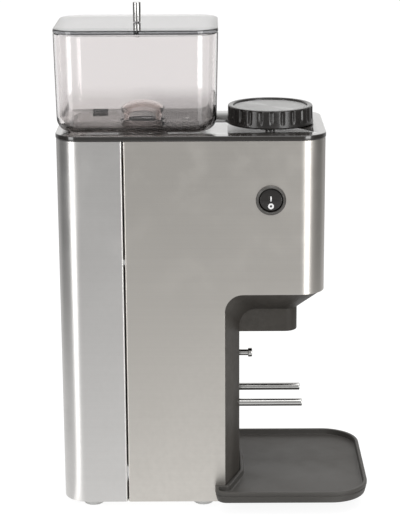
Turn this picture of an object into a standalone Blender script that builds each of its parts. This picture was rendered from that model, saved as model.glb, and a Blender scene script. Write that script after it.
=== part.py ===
"""Burr coffee grinder, in metres, +Z up, front towards -Y, switch side towards -X."""

from math import cos, hypot, pi, radians, sin, tan

import bmesh
import bpy
from mathutils import Matrix, Vector

MM = 0.001
FIT = 0.3 * MM            # gap between pieces that touch
TURN_STEPS = 24           # sides of a round piece

# housing
BODY_WIDTH = 110 * MM
HEAD_DEPTH = 205 * MM     # rear wall to the front of the head
COLUMN_DEPTH = 128 * MM   # rear wall to the front edge of the steel column
FOOT_HEIGHT = 6 * MM
DECK_TOP = 300 * MM
DECK_THICKNESS = 3.6 * MM
DECK_OVERHANG = 0.4 * MM
SHEET = 1.2 * MM
CORNER_R = 20 * MM
SEAM_DEPTH = 51.1 * MM    # rear wall to the joint between the rear cover and the front shell
SEAM_GAP = 0.8 * MM
HEAD_BOTTOM = 176 * MM
NOTCH_R = 14 * MM
BASE_THICKNESS = 1.6 * MM
VENT_WIDTH = 4 * MM
VENT_LENGTH = 40 * MM
VENT_PITCH = 9 * MM
VENT_COUNT = 5

# front moulding
COVE_INSET = 32.2 * MM    # run of the sloping sides, from the steel edge inwards
PANEL_PROUD = 11.7 * MM   # flat of the front panel, in front of the steel edge
COVE_DROP = 20.5 * MM     # ceiling of the cove, below the steel edge
BLOCK_HEIGHT = 18.6 * MM
BLOCK_SETBACK = 19.6 * MM # front of the spout block, behind the front of the head
BLOCK_R = 10 * MM
MOULD_WALL = 2.4 * MM
PANEL_BOTTOM = 8.6 * MM

# spout
NOZZLE_R = 12 * MM
NOZZLE_WALL = 1.8 * MM
NOZZLE_LENGTH = 18 * MM
NOZZLE_FLANGE = 4 * MM    # beyond the nozzle's side
FLANGE_THICKNESS = 2 * MM
CHUTE_R = 9 * MM
CHUTE_WALL = 1.5 * MM

# drip tray
TRAY_REACH = 113 * MM     # front of the tray, in front of the column
TRAY_SIDE = 17 * MM       # tray beyond the body, each side
TRAY_ARM = 8 * MM         # arms of the tray, behind the column's front edge
TRAY_BOTTOM = 10.8 * MM
TRAY_HEIGHT = 9.4 * MM
TRAY_FLOOR = 4.6 * MM
TRAY_RIM = 2.6 * MM
TRAY_R = 30 * MM
TRAY_REAR_R = 9 * MM
TONGUE_WIDTH = 60 * MM
TONGUE_LENGTH = 14 * MM
TONGUE_THICKNESS = 2.4 * MM

# hopper
HOPPER_LENGTH = 124.4 * MM
HOPPER_WIDTH = 102.4 * MM
HOPPER_OVERHANG = 0.8 * MM
HOPPER_HEIGHT = 75 * MM
HOPPER_DRAFT = radians(1.2)
HOPPER_R = 20 * MM
HOPPER_WALL = 2.4 * MM
HOPPER_EDGE_R = 10 * MM
LID_THICKNESS = 3 * MM
LID_LIP = 1.5 * MM
LID_PIN_R = 3 * MM
LID_PIN_HEIGHT = 15.7 * MM
LID_SCREW_R = 3 * MM
LID_STUD_R = 1.6 * MM
LID_NUT_HEIGHT = 7 * MM
LID_EDGE = 0.8 * MM
LIP_WIDTH = 2 * MM
GUARD_R = 17.9 * MM
GUARD_HEIGHT = 15.7 * MM
GUARD_WALL = 1.8 * MM
GUARD_WINDOW = 21 * MM
GUARD_WINDOW_HEIGHT = 9.5 * MM
THROAT_R = 17 * MM
COLLAR_LENGTH = 8 * MM
PEG_AHEAD = 34 * MM       # hopper peg, in front of the drive axis
PEG_R = 3.4 * MM
PEG_HEIGHT = 4.6 * MM
MAGNET_SIZE = (4 * MM, 12 * MM, 2.4 * MM)
MAGNET_BEHIND = 35 * MM   # safety magnet, behind the drive axis
MAGNET_SIDE = 34 * MM     # safety magnet, to the side of the drive axis

# adjusting train
GEAR_MODULE = 1.5 * MM
PINION_TEETH = 20
IDLER_TEETH = 28
RING_TEETH = 56
GEAR_WIDTH = 8 * MM
GEAR_DROP = 27.6 * MM     # bottom of the gears, below the deck's top
DRIVE_DEPTH = 65 * MM     # rear wall to the drive axis
KNOB_R = 32.9 * MM
KNOB_FLARE = 0.7 * MM
KNOB_HEIGHT = 14.7 * MM
KNOB_SCALLOPS = 24
SCALLOP_DEPTH = 0.9 * MM
KNOB_RIM = 4.2 * MM
KNOB_WALL = 3 * MM
KNOB_DISC_RECESS = 1.4 * MM
KNOB_SHAFT_R = 4 * MM
KNOB_HUB_WALL = 4 * MM
KNOB_DISC = 2 * MM

# burrs and drive
BURR_R = 29 * MM
BURR_BORE = 16 * MM
BURR_THICKNESS = 7.7 * MM
BURR_GAP = 1 * MM
CARRIER_NECK_R = 24 * MM
CARRIER_FLANGE = 4 * MM
CHAMBER_GAP = 2.6 * MM
CHAMBER_WALL = 3.5 * MM
RETAINER_THICKNESS = 2 * MM
POST_R = 2.5 * MM
EAR_WIDTH = 9 * MM
EAR_HEIGHT = 5 * MM
GROOVES = 12
DRIVE_SHAFT_R = 5 * MM
BEARING_R = 11 * MM
BEARING_WIDTH = 7 * MM
MOTOR_BOTTOM = 60 * MM
MOTOR_LENGTH = 132 * MM
MOTOR_R = 45 * MM
MOTOR_WALL = 1.6 * MM
AIR_GAP = 0.7 * MM
ROTOR_R = 25.3 * MM
STACK_LENGTH = 70 * MM
FAN_BLADES = 7
FAN_HEIGHT = 11 * MM
BRACKET_THICKNESS = 4 * MM

# switch
SWITCH_AHEAD = 98 * MM    # rocker switch, in front of the drive axis
SWITCH_DROP = 49.4 * MM   # rocker switch, below the deck's top
BEZEL_R = 11.5 * MM
BEZEL_PROUD = 1.8 * MM
SWITCH_R = 10.1 * MM
SWITCH_DEPTH = 24 * MM
ROCKER_R = 8.6 * MM
ROCKER_TILT = radians(7)
ROCKER_RIDGE = 4.6 * MM    # ridge of the face, in front of the rocker's axis
ROCKER_AXIS_IN = 3 * MM   # axis, behind the steel
ROCKER_BACK = 3 * MM
SWITCH_POCKET = 9 * MM

# portafilter fork and trigger
ROD_R = 3 * MM
ROD_SPREAD = 38.8 * MM
ROD_HEIGHT = 76.5 * MM
ROD_REACH = 50.2 * MM     # beyond the flat of the front panel
TRIGGER_HEIGHT = 112.3 * MM
TRIGGER_R = 2.5 * MM
TRIGGER_HEAD_R = 3.65 * MM
TRIGGER_HEAD = 3.3 * MM
TRIGGER_REACH = 10.7 * MM
GUIDE_WALL = 1.8 * MM
GUIDE_FLANGE = 2 * MM
GUIDE_LENGTH = 13 * MM
COLLAR_R = 4.2 * MM
COLLAR_WIDTH = 2 * MM

# feet, gland, electrics
FOOT_R = 9 * MM
FOOT_IN = 15.5 * MM       # foot centres, in from the sides
FOOT_REAR = 23 * MM       # rear feet, from the rear wall
FOOT_FRONT = 17.3 * MM    # front feet, behind the column's front edge
GLAND_PROUD = 2 * MM
GLAND_R = 11 * MM
GLAND_BORE = 4 * MM
GLAND_HEIGHT = 38 * MM

# sizes that follow from those above
REAR_Y = (COLUMN_DEPTH + TRAY_REACH - GLAND_PROUD) / 2
HALF = BODY_WIDTH / 2
INNER = HALF - SHEET
STEEL_TOP = DECK_TOP - DECK_THICKNESS - FIT
DRIVE_Y = REAR_Y - DRIVE_DEPTH
RING_R = GEAR_MODULE * RING_TEETH / 2
IDLER_R = GEAR_MODULE * IDLER_TEETH / 2
PINION_R = GEAR_MODULE * PINION_TEETH / 2
IDLER_Y = DRIVE_Y - RING_R - IDLER_R
KNOB_Y = IDLER_Y - IDLER_R - PINION_R
SWITCH_Y = DRIVE_Y - SWITCH_AHEAD
SWITCH_Z = DECK_TOP - SWITCH_DROP
PANEL_Y = REAR_Y - COLUMN_DEPTH - PANEL_PROUD
EDGE_Y = REAR_Y - COLUMN_DEPTH
HEAD_Y = REAR_Y - HEAD_DEPTH
BLOCK_Y = HEAD_Y + BLOCK_SETBACK
BLOCK_HALF = HALF - COVE_INSET
CEILING_Z = HEAD_BOTTOM - COVE_DROP
BLOCK_BOTTOM = CEILING_Z - BLOCK_HEIGHT
NOZZLE_Y = (PANEL_Y + BLOCK_Y) / 2
GEAR_Z = DECK_TOP - GEAR_DROP
CARRIER_Z = GEAR_Z - 2.4 * MM - CARRIER_FLANGE
UPPER_BURR_Z = CARRIER_Z - FIT - BURR_THICKNESS
LOWER_BURR_Z = UPPER_BURR_Z - BURR_GAP - BURR_THICKNESS
CHAMBER_R = BURR_R + CHAMBER_GAP + 2 * MM
CHAMBER_FLOOR = LOWER_BURR_Z - 7 * MM
MOTOR_TOP = MOTOR_BOTTOM + MOTOR_LENGTH
BRACKET_Z = MOTOR_TOP + 8 * MM
HOPPER_FLOOR = DECK_TOP + FIT + HOPPER_WALL
HOPPER_TOP = DECK_TOP + FIT + HOPPER_HEIGHT
HOPPER_Y = REAR_Y + HOPPER_OVERHANG - HOPPER_LENGTH / 2
LID_Z = HOPPER_TOP + FIT
PEG_Y = DRIVE_Y - PEG_AHEAD
CHUTE_Z = LOWER_BURR_Z - 1 * MM


def clear_scene():
    for obj in list(bpy.data.objects):
        bpy.data.objects.remove(obj, do_unlink=True)


# ---------------------------------------------------------------- materials

def material(name, colour, roughness, metallic=0.0, alpha=1.0):
    made = bpy.data.materials.get(name) or bpy.data.materials.new(name)
    made.use_nodes = True
    shader = made.node_tree.nodes["Principled BSDF"]
    shader.inputs["Base Color"].default_value = (*colour, 1)
    shader.inputs["Roughness"].default_value = roughness
    shader.inputs["Metallic"].default_value = metallic
    shader.inputs["Alpha"].default_value = alpha
    return made


def brushed_steel():
    return material("brushed_steel", (0.62, 0.60, 0.57), 0.32, 1.0)


def bright_steel():
    return material("bright_steel", (0.72, 0.71, 0.69), 0.18, 1.0)


def burr_steel():
    return material("burr_steel", (0.48, 0.48, 0.49), 0.35, 1.0)


def aluminium():
    return material("aluminium", (0.68, 0.69, 0.70), 0.4, 1.0)


def zinc_plate():
    return material("zinc_plate", (0.60, 0.60, 0.58), 0.45, 1.0)


def brass():
    return material("brass", (0.78, 0.60, 0.30), 0.35, 1.0)


def charcoal_plastic():
    return material("charcoal_plastic", (0.055, 0.052, 0.048), 0.5)


def gloss_black():
    return material("gloss_black", (0.015, 0.014, 0.013), 0.18)


def deck_plastic():
    return material("deck_plastic", (0.035, 0.030, 0.028), 0.22)


def disc_grey():
    return material("disc_grey", (0.42, 0.42, 0.41), 0.45)


def smoke_clear():
    return material("smoke_clear", (0.78, 0.74, 0.72), 0.06, 0.0, 0.35)


def foot_rubber():
    return material("foot_rubber", (0.62, 0.62, 0.60), 0.6)


def black_rubber():
    return material("black_rubber", (0.02, 0.02, 0.02), 0.7)


def motor_paint():
    return material("motor_paint", (0.08, 0.085, 0.09), 0.45)


def board_green():
    return material("board_green", (0.05, 0.22, 0.10), 0.4)


def gear_nylon():
    return material("gear_nylon", (0.80, 0.78, 0.70), 0.45)


# ---------------------------------------------------------------- building helpers

def piece(name, bm, surface, location=(0, 0, 0), parent=None, smooth=True):
    """One object from a bmesh that was drawn around its own origin."""
    bmesh.ops.recalc_face_normals(bm, faces=bm.faces)
    mesh = bpy.data.meshes.new(name)
    bm.to_mesh(mesh)
    bm.free()
    if smooth:
        mesh.shade_smooth()
        mesh.set_sharp_from_angle(angle=radians(35))
    mesh.materials.append(surface)
    obj = bpy.data.objects.new(name, mesh)
    bpy.context.scene.collection.objects.link(obj)
    obj.location = location
    if parent:
        obj.parent = parent
        obj.location = Vector(location) - parent.location
    return obj


def pivot(name, location):
    """An empty on a joint's axis, which the moving pieces hang from."""
    empty = bpy.data.objects.new(name, None)
    empty.location = location
    bpy.context.scene.collection.objects.link(empty)
    return empty


def boolean(obj, bm, operation="DIFFERENCE", location=(0, 0, 0)):
    """Cuts or joins a helper shape, which stays hidden."""
    bmesh.ops.recalc_face_normals(bm, faces=bm.faces)
    mesh = bpy.data.meshes.new(obj.name + "_tool")
    bm.to_mesh(mesh)
    bm.free()
    tool = bpy.data.objects.new(obj.name + "_tool", mesh)
    bpy.context.scene.collection.objects.link(tool)
    tool.location = location
    tool.hide_render = True
    tool.display_type = "WIRE"
    step = obj.modifiers.new(operation.lower(), "BOOLEAN")
    step.operation = operation
    step.solver = "EXACT"
    step.object = tool
    return obj


def arc(x, y, radius, start, end, steps=6):
    """Points of an arc, in degrees, both ends included."""
    turns = [radians(start + (end - start) * i / steps) for i in range(steps + 1)]
    return [(x + radius * cos(t), y + radius * sin(t)) for t in turns]


def round_rectangle(x0, x1, y0, y1, radius, steps=6):
    return (
        arc(x1 - radius, y1 - radius, radius, 0, 90, steps)
        + arc(x0 + radius, y1 - radius, radius, 90, 180, steps)
        + arc(x0 + radius, y0 + radius, radius, 180, 270, steps)
        + arc(x1 - radius, y0 + radius, radius, 270, 360, steps)
    )


def slab(outline, low, high, axis="Z"):
    """An outline extruded from low to high along an axis; its points are given in that axis' plane."""
    bm = bmesh.new()
    place = {
        "Z": lambda a, b, c: (a, b, c),
        "Y": lambda a, b, c: (a, c, b),
        "X": lambda a, b, c: (c, a, b),
    }[axis]
    face = bm.faces.new([bm.verts.new(place(a, b, low)) for a, b in outline])
    raised = bmesh.ops.extrude_face_region(bm, geom=[face])
    moved = [v for v in raised["geom"] if isinstance(v, bmesh.types.BMVert)]
    bmesh.ops.translate(bm, verts=moved, vec=place(0, 0, high - low))
    return bm


def block(size, centre=(0, 0, 0)):
    bm = bmesh.new()
    bmesh.ops.create_cube(bm, size=1)
    bmesh.ops.scale(bm, verts=bm.verts, vec=size)
    bmesh.ops.translate(bm, verts=bm.verts, vec=centre)
    return bm


def circle(radius, steps):
    return [(radius * cos(2 * pi * i / steps), radius * sin(2 * pi * i / steps)) for i in range(steps)]


def rod(radius, low, high, axis="Z", steps=TURN_STEPS):
    """A plain cylinder along an axis, through the local origin."""
    return slab(circle(radius, steps), low, high, axis)


def loft(loops, closed=False):
    """Skins loops of equal length; closed joins the last to the first, otherwise both ends are capped."""
    bm = bmesh.new()
    rings = [[bm.verts.new(p) for p in loop] for loop in loops]
    pairs = list(zip(rings, rings[1:] + rings[:1])) if closed else list(zip(rings, rings[1:]))
    for a, b in pairs:
        for i in range(len(a)):
            j = (i + 1) % len(a)
            bm.faces.new((a[i], a[j], b[j], b[i]))
    if not closed:
        bm.faces.new(rings[0])
        bm.faces.new(rings[-1])
    return bm


def spun_loops(profile, steps, axis):
    """A (radius, height) profile's circles about an axis."""
    place = {
        "Z": lambda x, y, z: (x, y, z),
        "Y": lambda x, y, z: (x, z, y),
        "X": lambda x, y, z: (z, x, y),
    }[axis]
    turns = [2 * pi * i / steps for i in range(steps)]
    return [[place(radius * cos(t), radius * sin(t), height) for t in turns] for radius, height in profile]


def turned(profile, steps=TURN_STEPS, axis="Z"):
    """A closed profile, clear of the axis, spun into a ring."""
    return loft(spun_loops(profile, steps, axis), closed=True)


def solid_turned(profile, steps=TURN_STEPS, axis="Z"):
    """A profile spun into a solid with flat ends."""
    return loft(spun_loops(profile, steps, axis))


def gear_outline(teeth, phase):
    """Trapezoid teeth on a pitch circle of module times teeth over two, with backlash."""
    pitch_r = GEAR_MODULE * teeth / 2
    tip_r = pitch_r + 0.85 * GEAR_MODULE
    root_r = pitch_r - 1.1 * GEAR_MODULE
    step = 2 * pi / teeth
    points = []
    for i in range(teeth):
        middle = phase + i * step
        for radius, share in ((root_r, -0.30), (tip_r, -0.11), (tip_r, 0.11), (root_r, 0.30)):
            turn = middle + share * step
            points.append((radius * cos(turn), radius * sin(turn)))
    return points


# ---------------------------------------------------------------- housing

def wall_outline(front, rear):
    """Plan of a sheet wall that wraps one end of the housing: outer line forward, inner line back."""
    wraps_rear = rear is None

    def line(inset):
        radius = CORNER_R - inset
        side = HALF - inset
        if wraps_rear:
            end = REAR_Y - inset
            return (
                [(-side, front)]
                + arc(-side + radius, end - radius, radius, 180, 90)
                + arc(side - radius, end - radius, radius, 90, 0)
                + [(side, front)]
            )
        end = HEAD_Y + inset
        return (
            [(side, rear)]
            + arc(side - radius, end + radius, radius, 0, -90)
            + arc(-side + radius, end + radius, radius, -90, -180)
            + [(-side, rear)]
        )

    return line(0) + line(SHEET)[::-1]


def rear_cover():
    outline = wall_outline(REAR_Y - SEAM_DEPTH + SEAM_GAP / 2, None)
    obj = piece("rear_cover", slab(outline, FOOT_HEIGHT, STEEL_TOP), brushed_steel())
    hole = rod(GLAND_R - 2 * MM, REAR_Y - 5 * MM, REAR_Y + 5 * MM, "Y")
    return boolean(obj, hole, location=(0, 0, GLAND_HEIGHT))


def notch_profile():
    """Side view of the space under the head and in front of the column."""
    low = -20 * MM
    front = HEAD_Y - 30 * MM
    corner = arc(EDGE_Y - NOTCH_R, HEAD_BOTTOM - NOTCH_R, NOTCH_R, 0, 90)
    return [(front, low), (EDGE_Y, low)] + corner + [(front, HEAD_BOTTOM)]


def front_shell():
    outline = wall_outline(None, REAR_Y - SEAM_DEPTH - SEAM_GAP / 2)
    obj = piece("front_shell", slab(outline, FOOT_HEIGHT, STEEL_TOP), brushed_steel())
    boolean(obj, slab(notch_profile(), -BODY_WIDTH, BODY_WIDTH, "X"))
    hole = rod(SWITCH_R + FIT, -5 * MM, 5 * MM, "X")
    return boolean(obj, hole, location=(-HALF, SWITCH_Y, SWITCH_Z))


def top_deck():
    over = HALF + DECK_OVERHANG
    front = HEAD_Y - DECK_OVERHANG
    outline = round_rectangle(-over, over, front, REAR_Y + DECK_OVERHANG, CORNER_R + DECK_OVERHANG)
    obj = piece("top_deck", slab(outline, DECK_TOP - DECK_THICKNESS, DECK_TOP), deck_plastic())
    reach = 3 * DECK_THICKNESS
    boolean(obj, rod(THROAT_R + HOPPER_WALL + FIT, -reach, reach), location=(0, DRIVE_Y, DECK_TOP))
    return boolean(obj, rod(KNOB_SHAFT_R + FIT, -reach, reach), location=(0, KNOB_Y, DECK_TOP))


def base_plate():
    side = INNER - FIT
    rear = REAR_Y - SHEET - FIT
    radius = CORNER_R - SHEET - FIT
    outline = (
        [(BLOCK_HALF, PANEL_Y), (side, EDGE_Y - FIT)]
        + arc(side - radius, rear - radius, radius, 0, 90)
        + arc(-side + radius, rear - radius, radius, 90, 180)
        + [(-side, EDGE_Y - FIT), (-BLOCK_HALF, PANEL_Y)]
    )
    low = FOOT_HEIGHT + FIT
    obj = piece("base_plate", slab(outline, low, low + BASE_THICKNESS), zinc_plate())
    for i in range(VENT_COUNT):
        y = DRIVE_Y + (i - (VENT_COUNT - 1) / 2) * VENT_PITCH
        boolean(obj, block((VENT_LENGTH, VENT_WIDTH, 10 * MM), (0, y, low)))
    return obj


def mould_lines():
    """Matching points of the steel edge and the cove's inner edge, from the foot to the front's middle."""
    side = INNER - FIT
    steel = [(side, EDGE_Y - FIT, PANEL_BOTTOM)]
    inner = [(BLOCK_HALF, PANEL_Y, PANEL_BOTTOM)]
    bend = arc(EDGE_Y - NOTCH_R, HEAD_BOTTOM - NOTCH_R, NOTCH_R - FIT, 0, 90, 4)
    steel += [(side, y, z) for y, z in bend]
    bend = arc(PANEL_Y - NOTCH_R, CEILING_Z - NOTCH_R, NOTCH_R, 0, 90, 4)
    inner += [(BLOCK_HALF, y, z) for y, z in bend]
    corner = arc(HALF - CORNER_R, HEAD_Y + CORNER_R, CORNER_R - SHEET - FIT, 0, -90, 5)
    steel += [(x, y, HEAD_BOTTOM - FIT) for x, y in corner]
    corner = arc(BLOCK_HALF - BLOCK_R, BLOCK_Y + BLOCK_R, BLOCK_R, 0, -90, 5)
    inner += [(x, y, CEILING_Z) for x, y in corner]
    steel.append((0, HEAD_Y + SHEET + FIT, HEAD_BOTTOM - FIT))
    inner.append((0, BLOCK_Y, CEILING_Z))
    return steel, inner


def cove_skin():
    """The sloping sides and the flat between them, as one open sheet."""
    steel, inner = mould_lines()
    bm = bmesh.new()
    rows = []
    for s, n in zip(steel, inner):
        rows.append([bm.verts.new(p) for p in (s, n, (-n[0], n[1], n[2]), (-s[0], s[1], s[2]))])
    for a, b in zip(rows, rows[1:]):
        for i in range(3):
            bm.faces.new((a[i], b[i], b[i + 1], a[i + 1]))
    bmesh.ops.remove_doubles(bm, verts=bm.verts, dist=0.01 * MM)
    bmesh.ops.dissolve_degenerate(bm, edges=bm.edges, dist=0.01 * MM)
    return bm


def block_outline(inset):
    side = BLOCK_HALF - inset
    front = BLOCK_Y + inset
    radius = BLOCK_R - inset
    rear = PANEL_Y + MOULD_WALL / 2 - inset
    return (
        [(side, rear), (-side, rear)]
        + arc(-side + radius, front + radius, radius, 180, 270)
        + arc(side - radius, front + radius, radius, 270, 360)
    )


def front_moulding():
    """Front panel, sloping underside of the head and the hollow spout block, in one moulding."""
    obj = piece("front_moulding", cove_skin(), charcoal_plastic())
    wall = obj.modifiers.new("wall", "SOLIDIFY")
    wall.thickness = MOULD_WALL
    wall.offset = 1
    boolean(obj, slab(block_outline(0.05 * MM), BLOCK_BOTTOM, CEILING_Z + MOULD_WALL / 2), "UNION")
    boolean(obj, slab(block_outline(MOULD_WALL), BLOCK_BOTTOM - 5 * MM, CEILING_Z))
    reach = 12 * MM
    boolean(obj, rod(NOZZLE_R + FIT, -reach, reach), location=(0, NOZZLE_Y, CEILING_Z))
    guide_r = TRIGGER_R + GUIDE_WALL
    boolean(obj, rod(guide_r + FIT, -reach, reach, "Y"), location=(0, PANEL_Y, TRIGGER_HEIGHT))
    for x in (-ROD_SPREAD / 2, ROD_SPREAD / 2):
        boolean(obj, rod(ROD_R + FIT, -reach, reach, "Y"), location=(x, PANEL_Y, ROD_HEIGHT))
    slot = (TONGUE_WIDTH + 2 * FIT, 2 * reach, TONGUE_THICKNESS + 2 * FIT)
    return boolean(obj, block(slot, (0, PANEL_Y, TRAY_BOTTOM + TONGUE_THICKNESS / 2)))


def spout_nozzle():
    low = CEILING_Z + MOULD_WALL + FIT - NOZZLE_LENGTH
    seat = CEILING_Z + MOULD_WALL + FIT
    profile = [
        (NOZZLE_R, low),
        (NOZZLE_R, seat),
        (NOZZLE_R + NOZZLE_FLANGE, seat),
        (NOZZLE_R + NOZZLE_FLANGE, seat + FLANGE_THICKNESS),
        (NOZZLE_R - NOZZLE_WALL, seat + FLANGE_THICKNESS),
        (NOZZLE_R - NOZZLE_WALL, low),
    ]
    return piece("spout_nozzle", turned(profile), gloss_black(), (0, NOZZLE_Y, 0))


def exit_chute():
    """A round tube from the grinding chamber down to the nozzle."""
    start = DRIVE_Y - CHAMBER_R - CHAMBER_WALL - FIT
    seat = CEILING_Z + MOULD_WALL + FLANGE_THICKNESS + 2 * FIT
    route = [(start, CHUTE_Z), (start - 8 * MM, CHUTE_Z)]
    route += [(NOZZLE_Y, seat + 16 * MM), (NOZZLE_Y, seat)]
    points = smooth_route([Vector((0, y, z)) for y, z in route], 2)
    outer = [ring_across(points, i, CHUTE_R) for i in range(len(points))]
    inner = [ring_across(points, i, CHUTE_R - CHUTE_WALL) for i in range(len(points))]
    return piece("exit_chute", loft(outer + inner[::-1], closed=True), gloss_black())


def smooth_route(points, rounds):
    """Cuts a route's corners off again and again, and keeps its ends."""
    for _ in range(rounds):
        new = [points[0]]
        for a, b in zip(points, points[1:]):
            new += [a.lerp(b, 0.25), a.lerp(b, 0.75)]
        points = new + [points[-1]]
    return points


def ring_across(points, i, radius, steps=12):
    """A circle across a route in the plane X = 0."""
    before = points[max(i - 1, 0)]
    after = points[min(i + 1, len(points) - 1)]
    along = (after - before).normalized()
    up = along.cross(Vector((1, 0, 0)))
    turns = [2 * pi * k / steps for k in range(steps)]
    return [points[i] + Vector((radius * cos(t), 0, 0)) + up * (radius * sin(t)) for t in turns]


def feet():
    edge = 1 * MM
    profile = [(FOOT_R - edge, 0), (FOOT_R, edge), (FOOT_R, FOOT_HEIGHT - edge), (FOOT_R - edge, FOOT_HEIGHT)]
    for side, x in (("left", -HALF + FOOT_IN), ("right", HALF - FOOT_IN)):
        for end, y in (("front", EDGE_Y + FOOT_FRONT), ("rear", REAR_Y - FOOT_REAR)):
            piece(f"foot_{side}_{end}", solid_turned(profile), foot_rubber(), (x, y, 0))


def cable_gland():
    """Bush in the rear wall that the supply cord passes through."""
    out = REAR_Y + GLAND_PROUD
    wall = REAR_Y - SHEET
    body = GLAND_R - 2 * MM - FIT
    profile = [
        (GLAND_BORE, out),
        (GLAND_R, out),
        (GLAND_R, REAR_Y + FIT),
        (body, REAR_Y + FIT),
        (body, wall - 8 * MM),
        (GLAND_BORE, wall - 8 * MM),
    ]
    return piece("cable_gland", turned(profile, 24, "Y"), black_rubber(), (0, 0, GLAND_HEIGHT))


# ---------------------------------------------------------------- drip tray

def tray_outline(inset):
    """Plan of the tray: round front corners, arms beside the column, inner edge along the panel."""
    side = HALF + TRAY_SIDE - inset
    front = EDGE_Y - TRAY_REACH + inset
    rear = EDGE_Y + TRAY_ARM - inset
    gap = FIT + inset
    slope = hypot(COVE_INSET, PANEL_PROUD)
    shift = gap * slope / COVE_INSET
    radius = TRAY_R - inset
    rear_r = TRAY_REAR_R - inset
    return (
        arc(side - radius, front + radius, radius, -90, 0, 8)
        + arc(side - rear_r, rear - rear_r, rear_r, 0, 90, 4)
        + [(HALF + gap, rear), (HALF + gap, EDGE_Y - shift)]
        + [(BLOCK_HALF, PANEL_Y - shift), (-BLOCK_HALF, PANEL_Y - shift)]
        + [(-HALF - gap, EDGE_Y - shift), (-HALF - gap, rear)]
        + arc(-side + rear_r, rear - rear_r, rear_r, 90, 180, 4)
        + arc(-side + radius, front + radius, radius, 180, 270, 8)
    )


def drip_tray():
    top = TRAY_BOTTOM + TRAY_HEIGHT
    at = pivot("tray_slide", (0, EDGE_Y - TRAY_REACH, TRAY_BOTTOM))
    obj = piece("drip_tray", slab(tray_outline(0), TRAY_BOTTOM, top), charcoal_plastic())
    obj.parent = at
    obj.location = -at.location
    boolean(obj, slab(tray_outline(TRAY_RIM), top - TRAY_FLOOR, top + 5 * MM))
    root = 10 * MM
    length = TONGUE_LENGTH + root
    centre = (0, PANEL_Y - root + length / 2, TRAY_BOTTOM + TONGUE_THICKNESS / 2)
    return boolean(obj, block((TONGUE_WIDTH, length, TONGUE_THICKNESS), centre), "UNION")


# ---------------------------------------------------------------- hopper and lid

def hopper_loop(inset, z, count=6):
    """One level of the hopper's wall: the draft narrows it downwards."""
    draft = (HOPPER_TOP - z) * tan(HOPPER_DRAFT)
    x = HOPPER_WIDTH / 2 - inset - draft
    y = HOPPER_LENGTH / 2 - inset - draft
    radius = max(HOPPER_R - inset - draft, 2 * MM)
    return [(a, HOPPER_Y + b, z) for a, b in round_rectangle(-x, x, -y, y, radius, count)]


def throat_loop(radius, z):
    """A circle on the drive axis with as many points as a level of the hopper."""
    count = len(hopper_loop(0, z))
    turns = [2 * pi * (i + 0.5) / count for i in range(count)]
    return [(radius * cos(t), DRIVE_Y + radius * sin(t), z) for t in turns]


def edge_loops(extra, floor):
    """The rounded lower edge, from the floor's rim up to the wall."""
    loops = []
    for turn in (0, 30, 60, 90):
        t = radians(turn)
        loops.append(hopper_loop(extra + HOPPER_EDGE_R * (1 - sin(t)), floor + HOPPER_EDGE_R * (1 - cos(t))))
    return loops


def hopper_body():
    at = pivot("hopper_lift", (0, DRIVE_Y, DECK_TOP))
    bottom = DECK_TOP + FIT
    collar = THROAT_R + HOPPER_WALL
    low = bottom - COLLAR_LENGTH
    loops = [throat_loop(collar, low), throat_loop(collar, bottom)]
    loops += edge_loops(0, bottom) + [hopper_loop(0, HOPPER_TOP), hopper_loop(HOPPER_WALL, HOPPER_TOP)]
    loops += edge_loops(HOPPER_WALL, HOPPER_FLOOR)[::-1]
    loops += [throat_loop(THROAT_R, HOPPER_FLOOR), throat_loop(THROAT_R, low)]
    obj = piece("hopper_body", loft(loops, closed=True), smoke_clear(), parent=at)
    boolean(obj, rod(PEG_R + 2 * FIT, -9 * MM, 9 * MM, steps=20), location=(0, PEG_Y, DECK_TOP))
    bean_guard(at)
    size = MAGNET_SIZE
    spot = (MAGNET_SIDE, DRIVE_Y + MAGNET_BEHIND, HOPPER_FLOOR + FIT + size[2] / 2)
    piece("hopper_magnet", block(size), black_rubber(), spot, at, smooth=False)
    return obj


def bean_guard(at):
    """Clear cap over the throat with four arched windows."""
    low = HOPPER_FLOOR + FIT
    inner = GUARD_R - GUARD_WALL
    knee = GUARD_HEIGHT - 4 * MM
    crown = 0.05 * GUARD_R
    outside = [
        (GUARD_R, 0),
        (GUARD_R, knee),
        (0.92 * GUARD_R, knee + 2.2 * MM),
        (0.6 * GUARD_R, knee + 3.5 * MM),
        (crown, GUARD_HEIGHT),
    ]
    inside = [
        (crown, GUARD_HEIGHT - GUARD_WALL),
        (0.6 * inner, knee + 1.8 * MM),
        (0.9 * inner, knee + 0.6 * MM),
        (inner, knee - 1 * MM),
        (inner, 0),
    ]
    obj = piece("bean_guard", guard_skin(outside, inside), smoke_clear(), (0, DRIVE_Y, low), at)
    half = GUARD_WINDOW / 2
    bow = 4 * MM
    rise = GUARD_WINDOW_HEIGHT - bow
    arch = [(half, -1 * MM), (half, rise)]
    arch += [(half * cos(radians(t)), rise + bow * sin(radians(t))) for t in range(20, 161, 20)]
    arch += [(-half, rise), (-half, -1 * MM)]
    for axis in ("X", "Y"):
        boolean(obj, slab(arch, -2 * GUARD_R, 2 * GUARD_R, axis), location=(0, DRIVE_Y, low))
    return obj


def guard_skin(outside, inside):
    """Outer profile up to the crown, inner profile down again, closed at the crown by a small disc each."""
    steps = TURN_STEPS
    bm = bmesh.new()

    def ring(radius, height):
        return [bm.verts.new((x, y, height)) for x, y in circle(radius, steps)]

    outer = [ring(r, z) for r, z in outside]
    inner = [ring(r, z) for r, z in inside]
    for rings in (outer, inner):
        for a, b in zip(rings, rings[1:]):
            for i in range(steps):
                bm.faces.new((a[i], a[(i + 1) % steps], b[(i + 1) % steps], b[i]))
    bm.faces.new(outer[-1])
    bm.faces.new(inner[0])
    for i in range(steps):
        j = (i + 1) % steps
        bm.faces.new((inner[-1][i], inner[-1][j], outer[0][j], outer[0][i]))
    return bm


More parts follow.
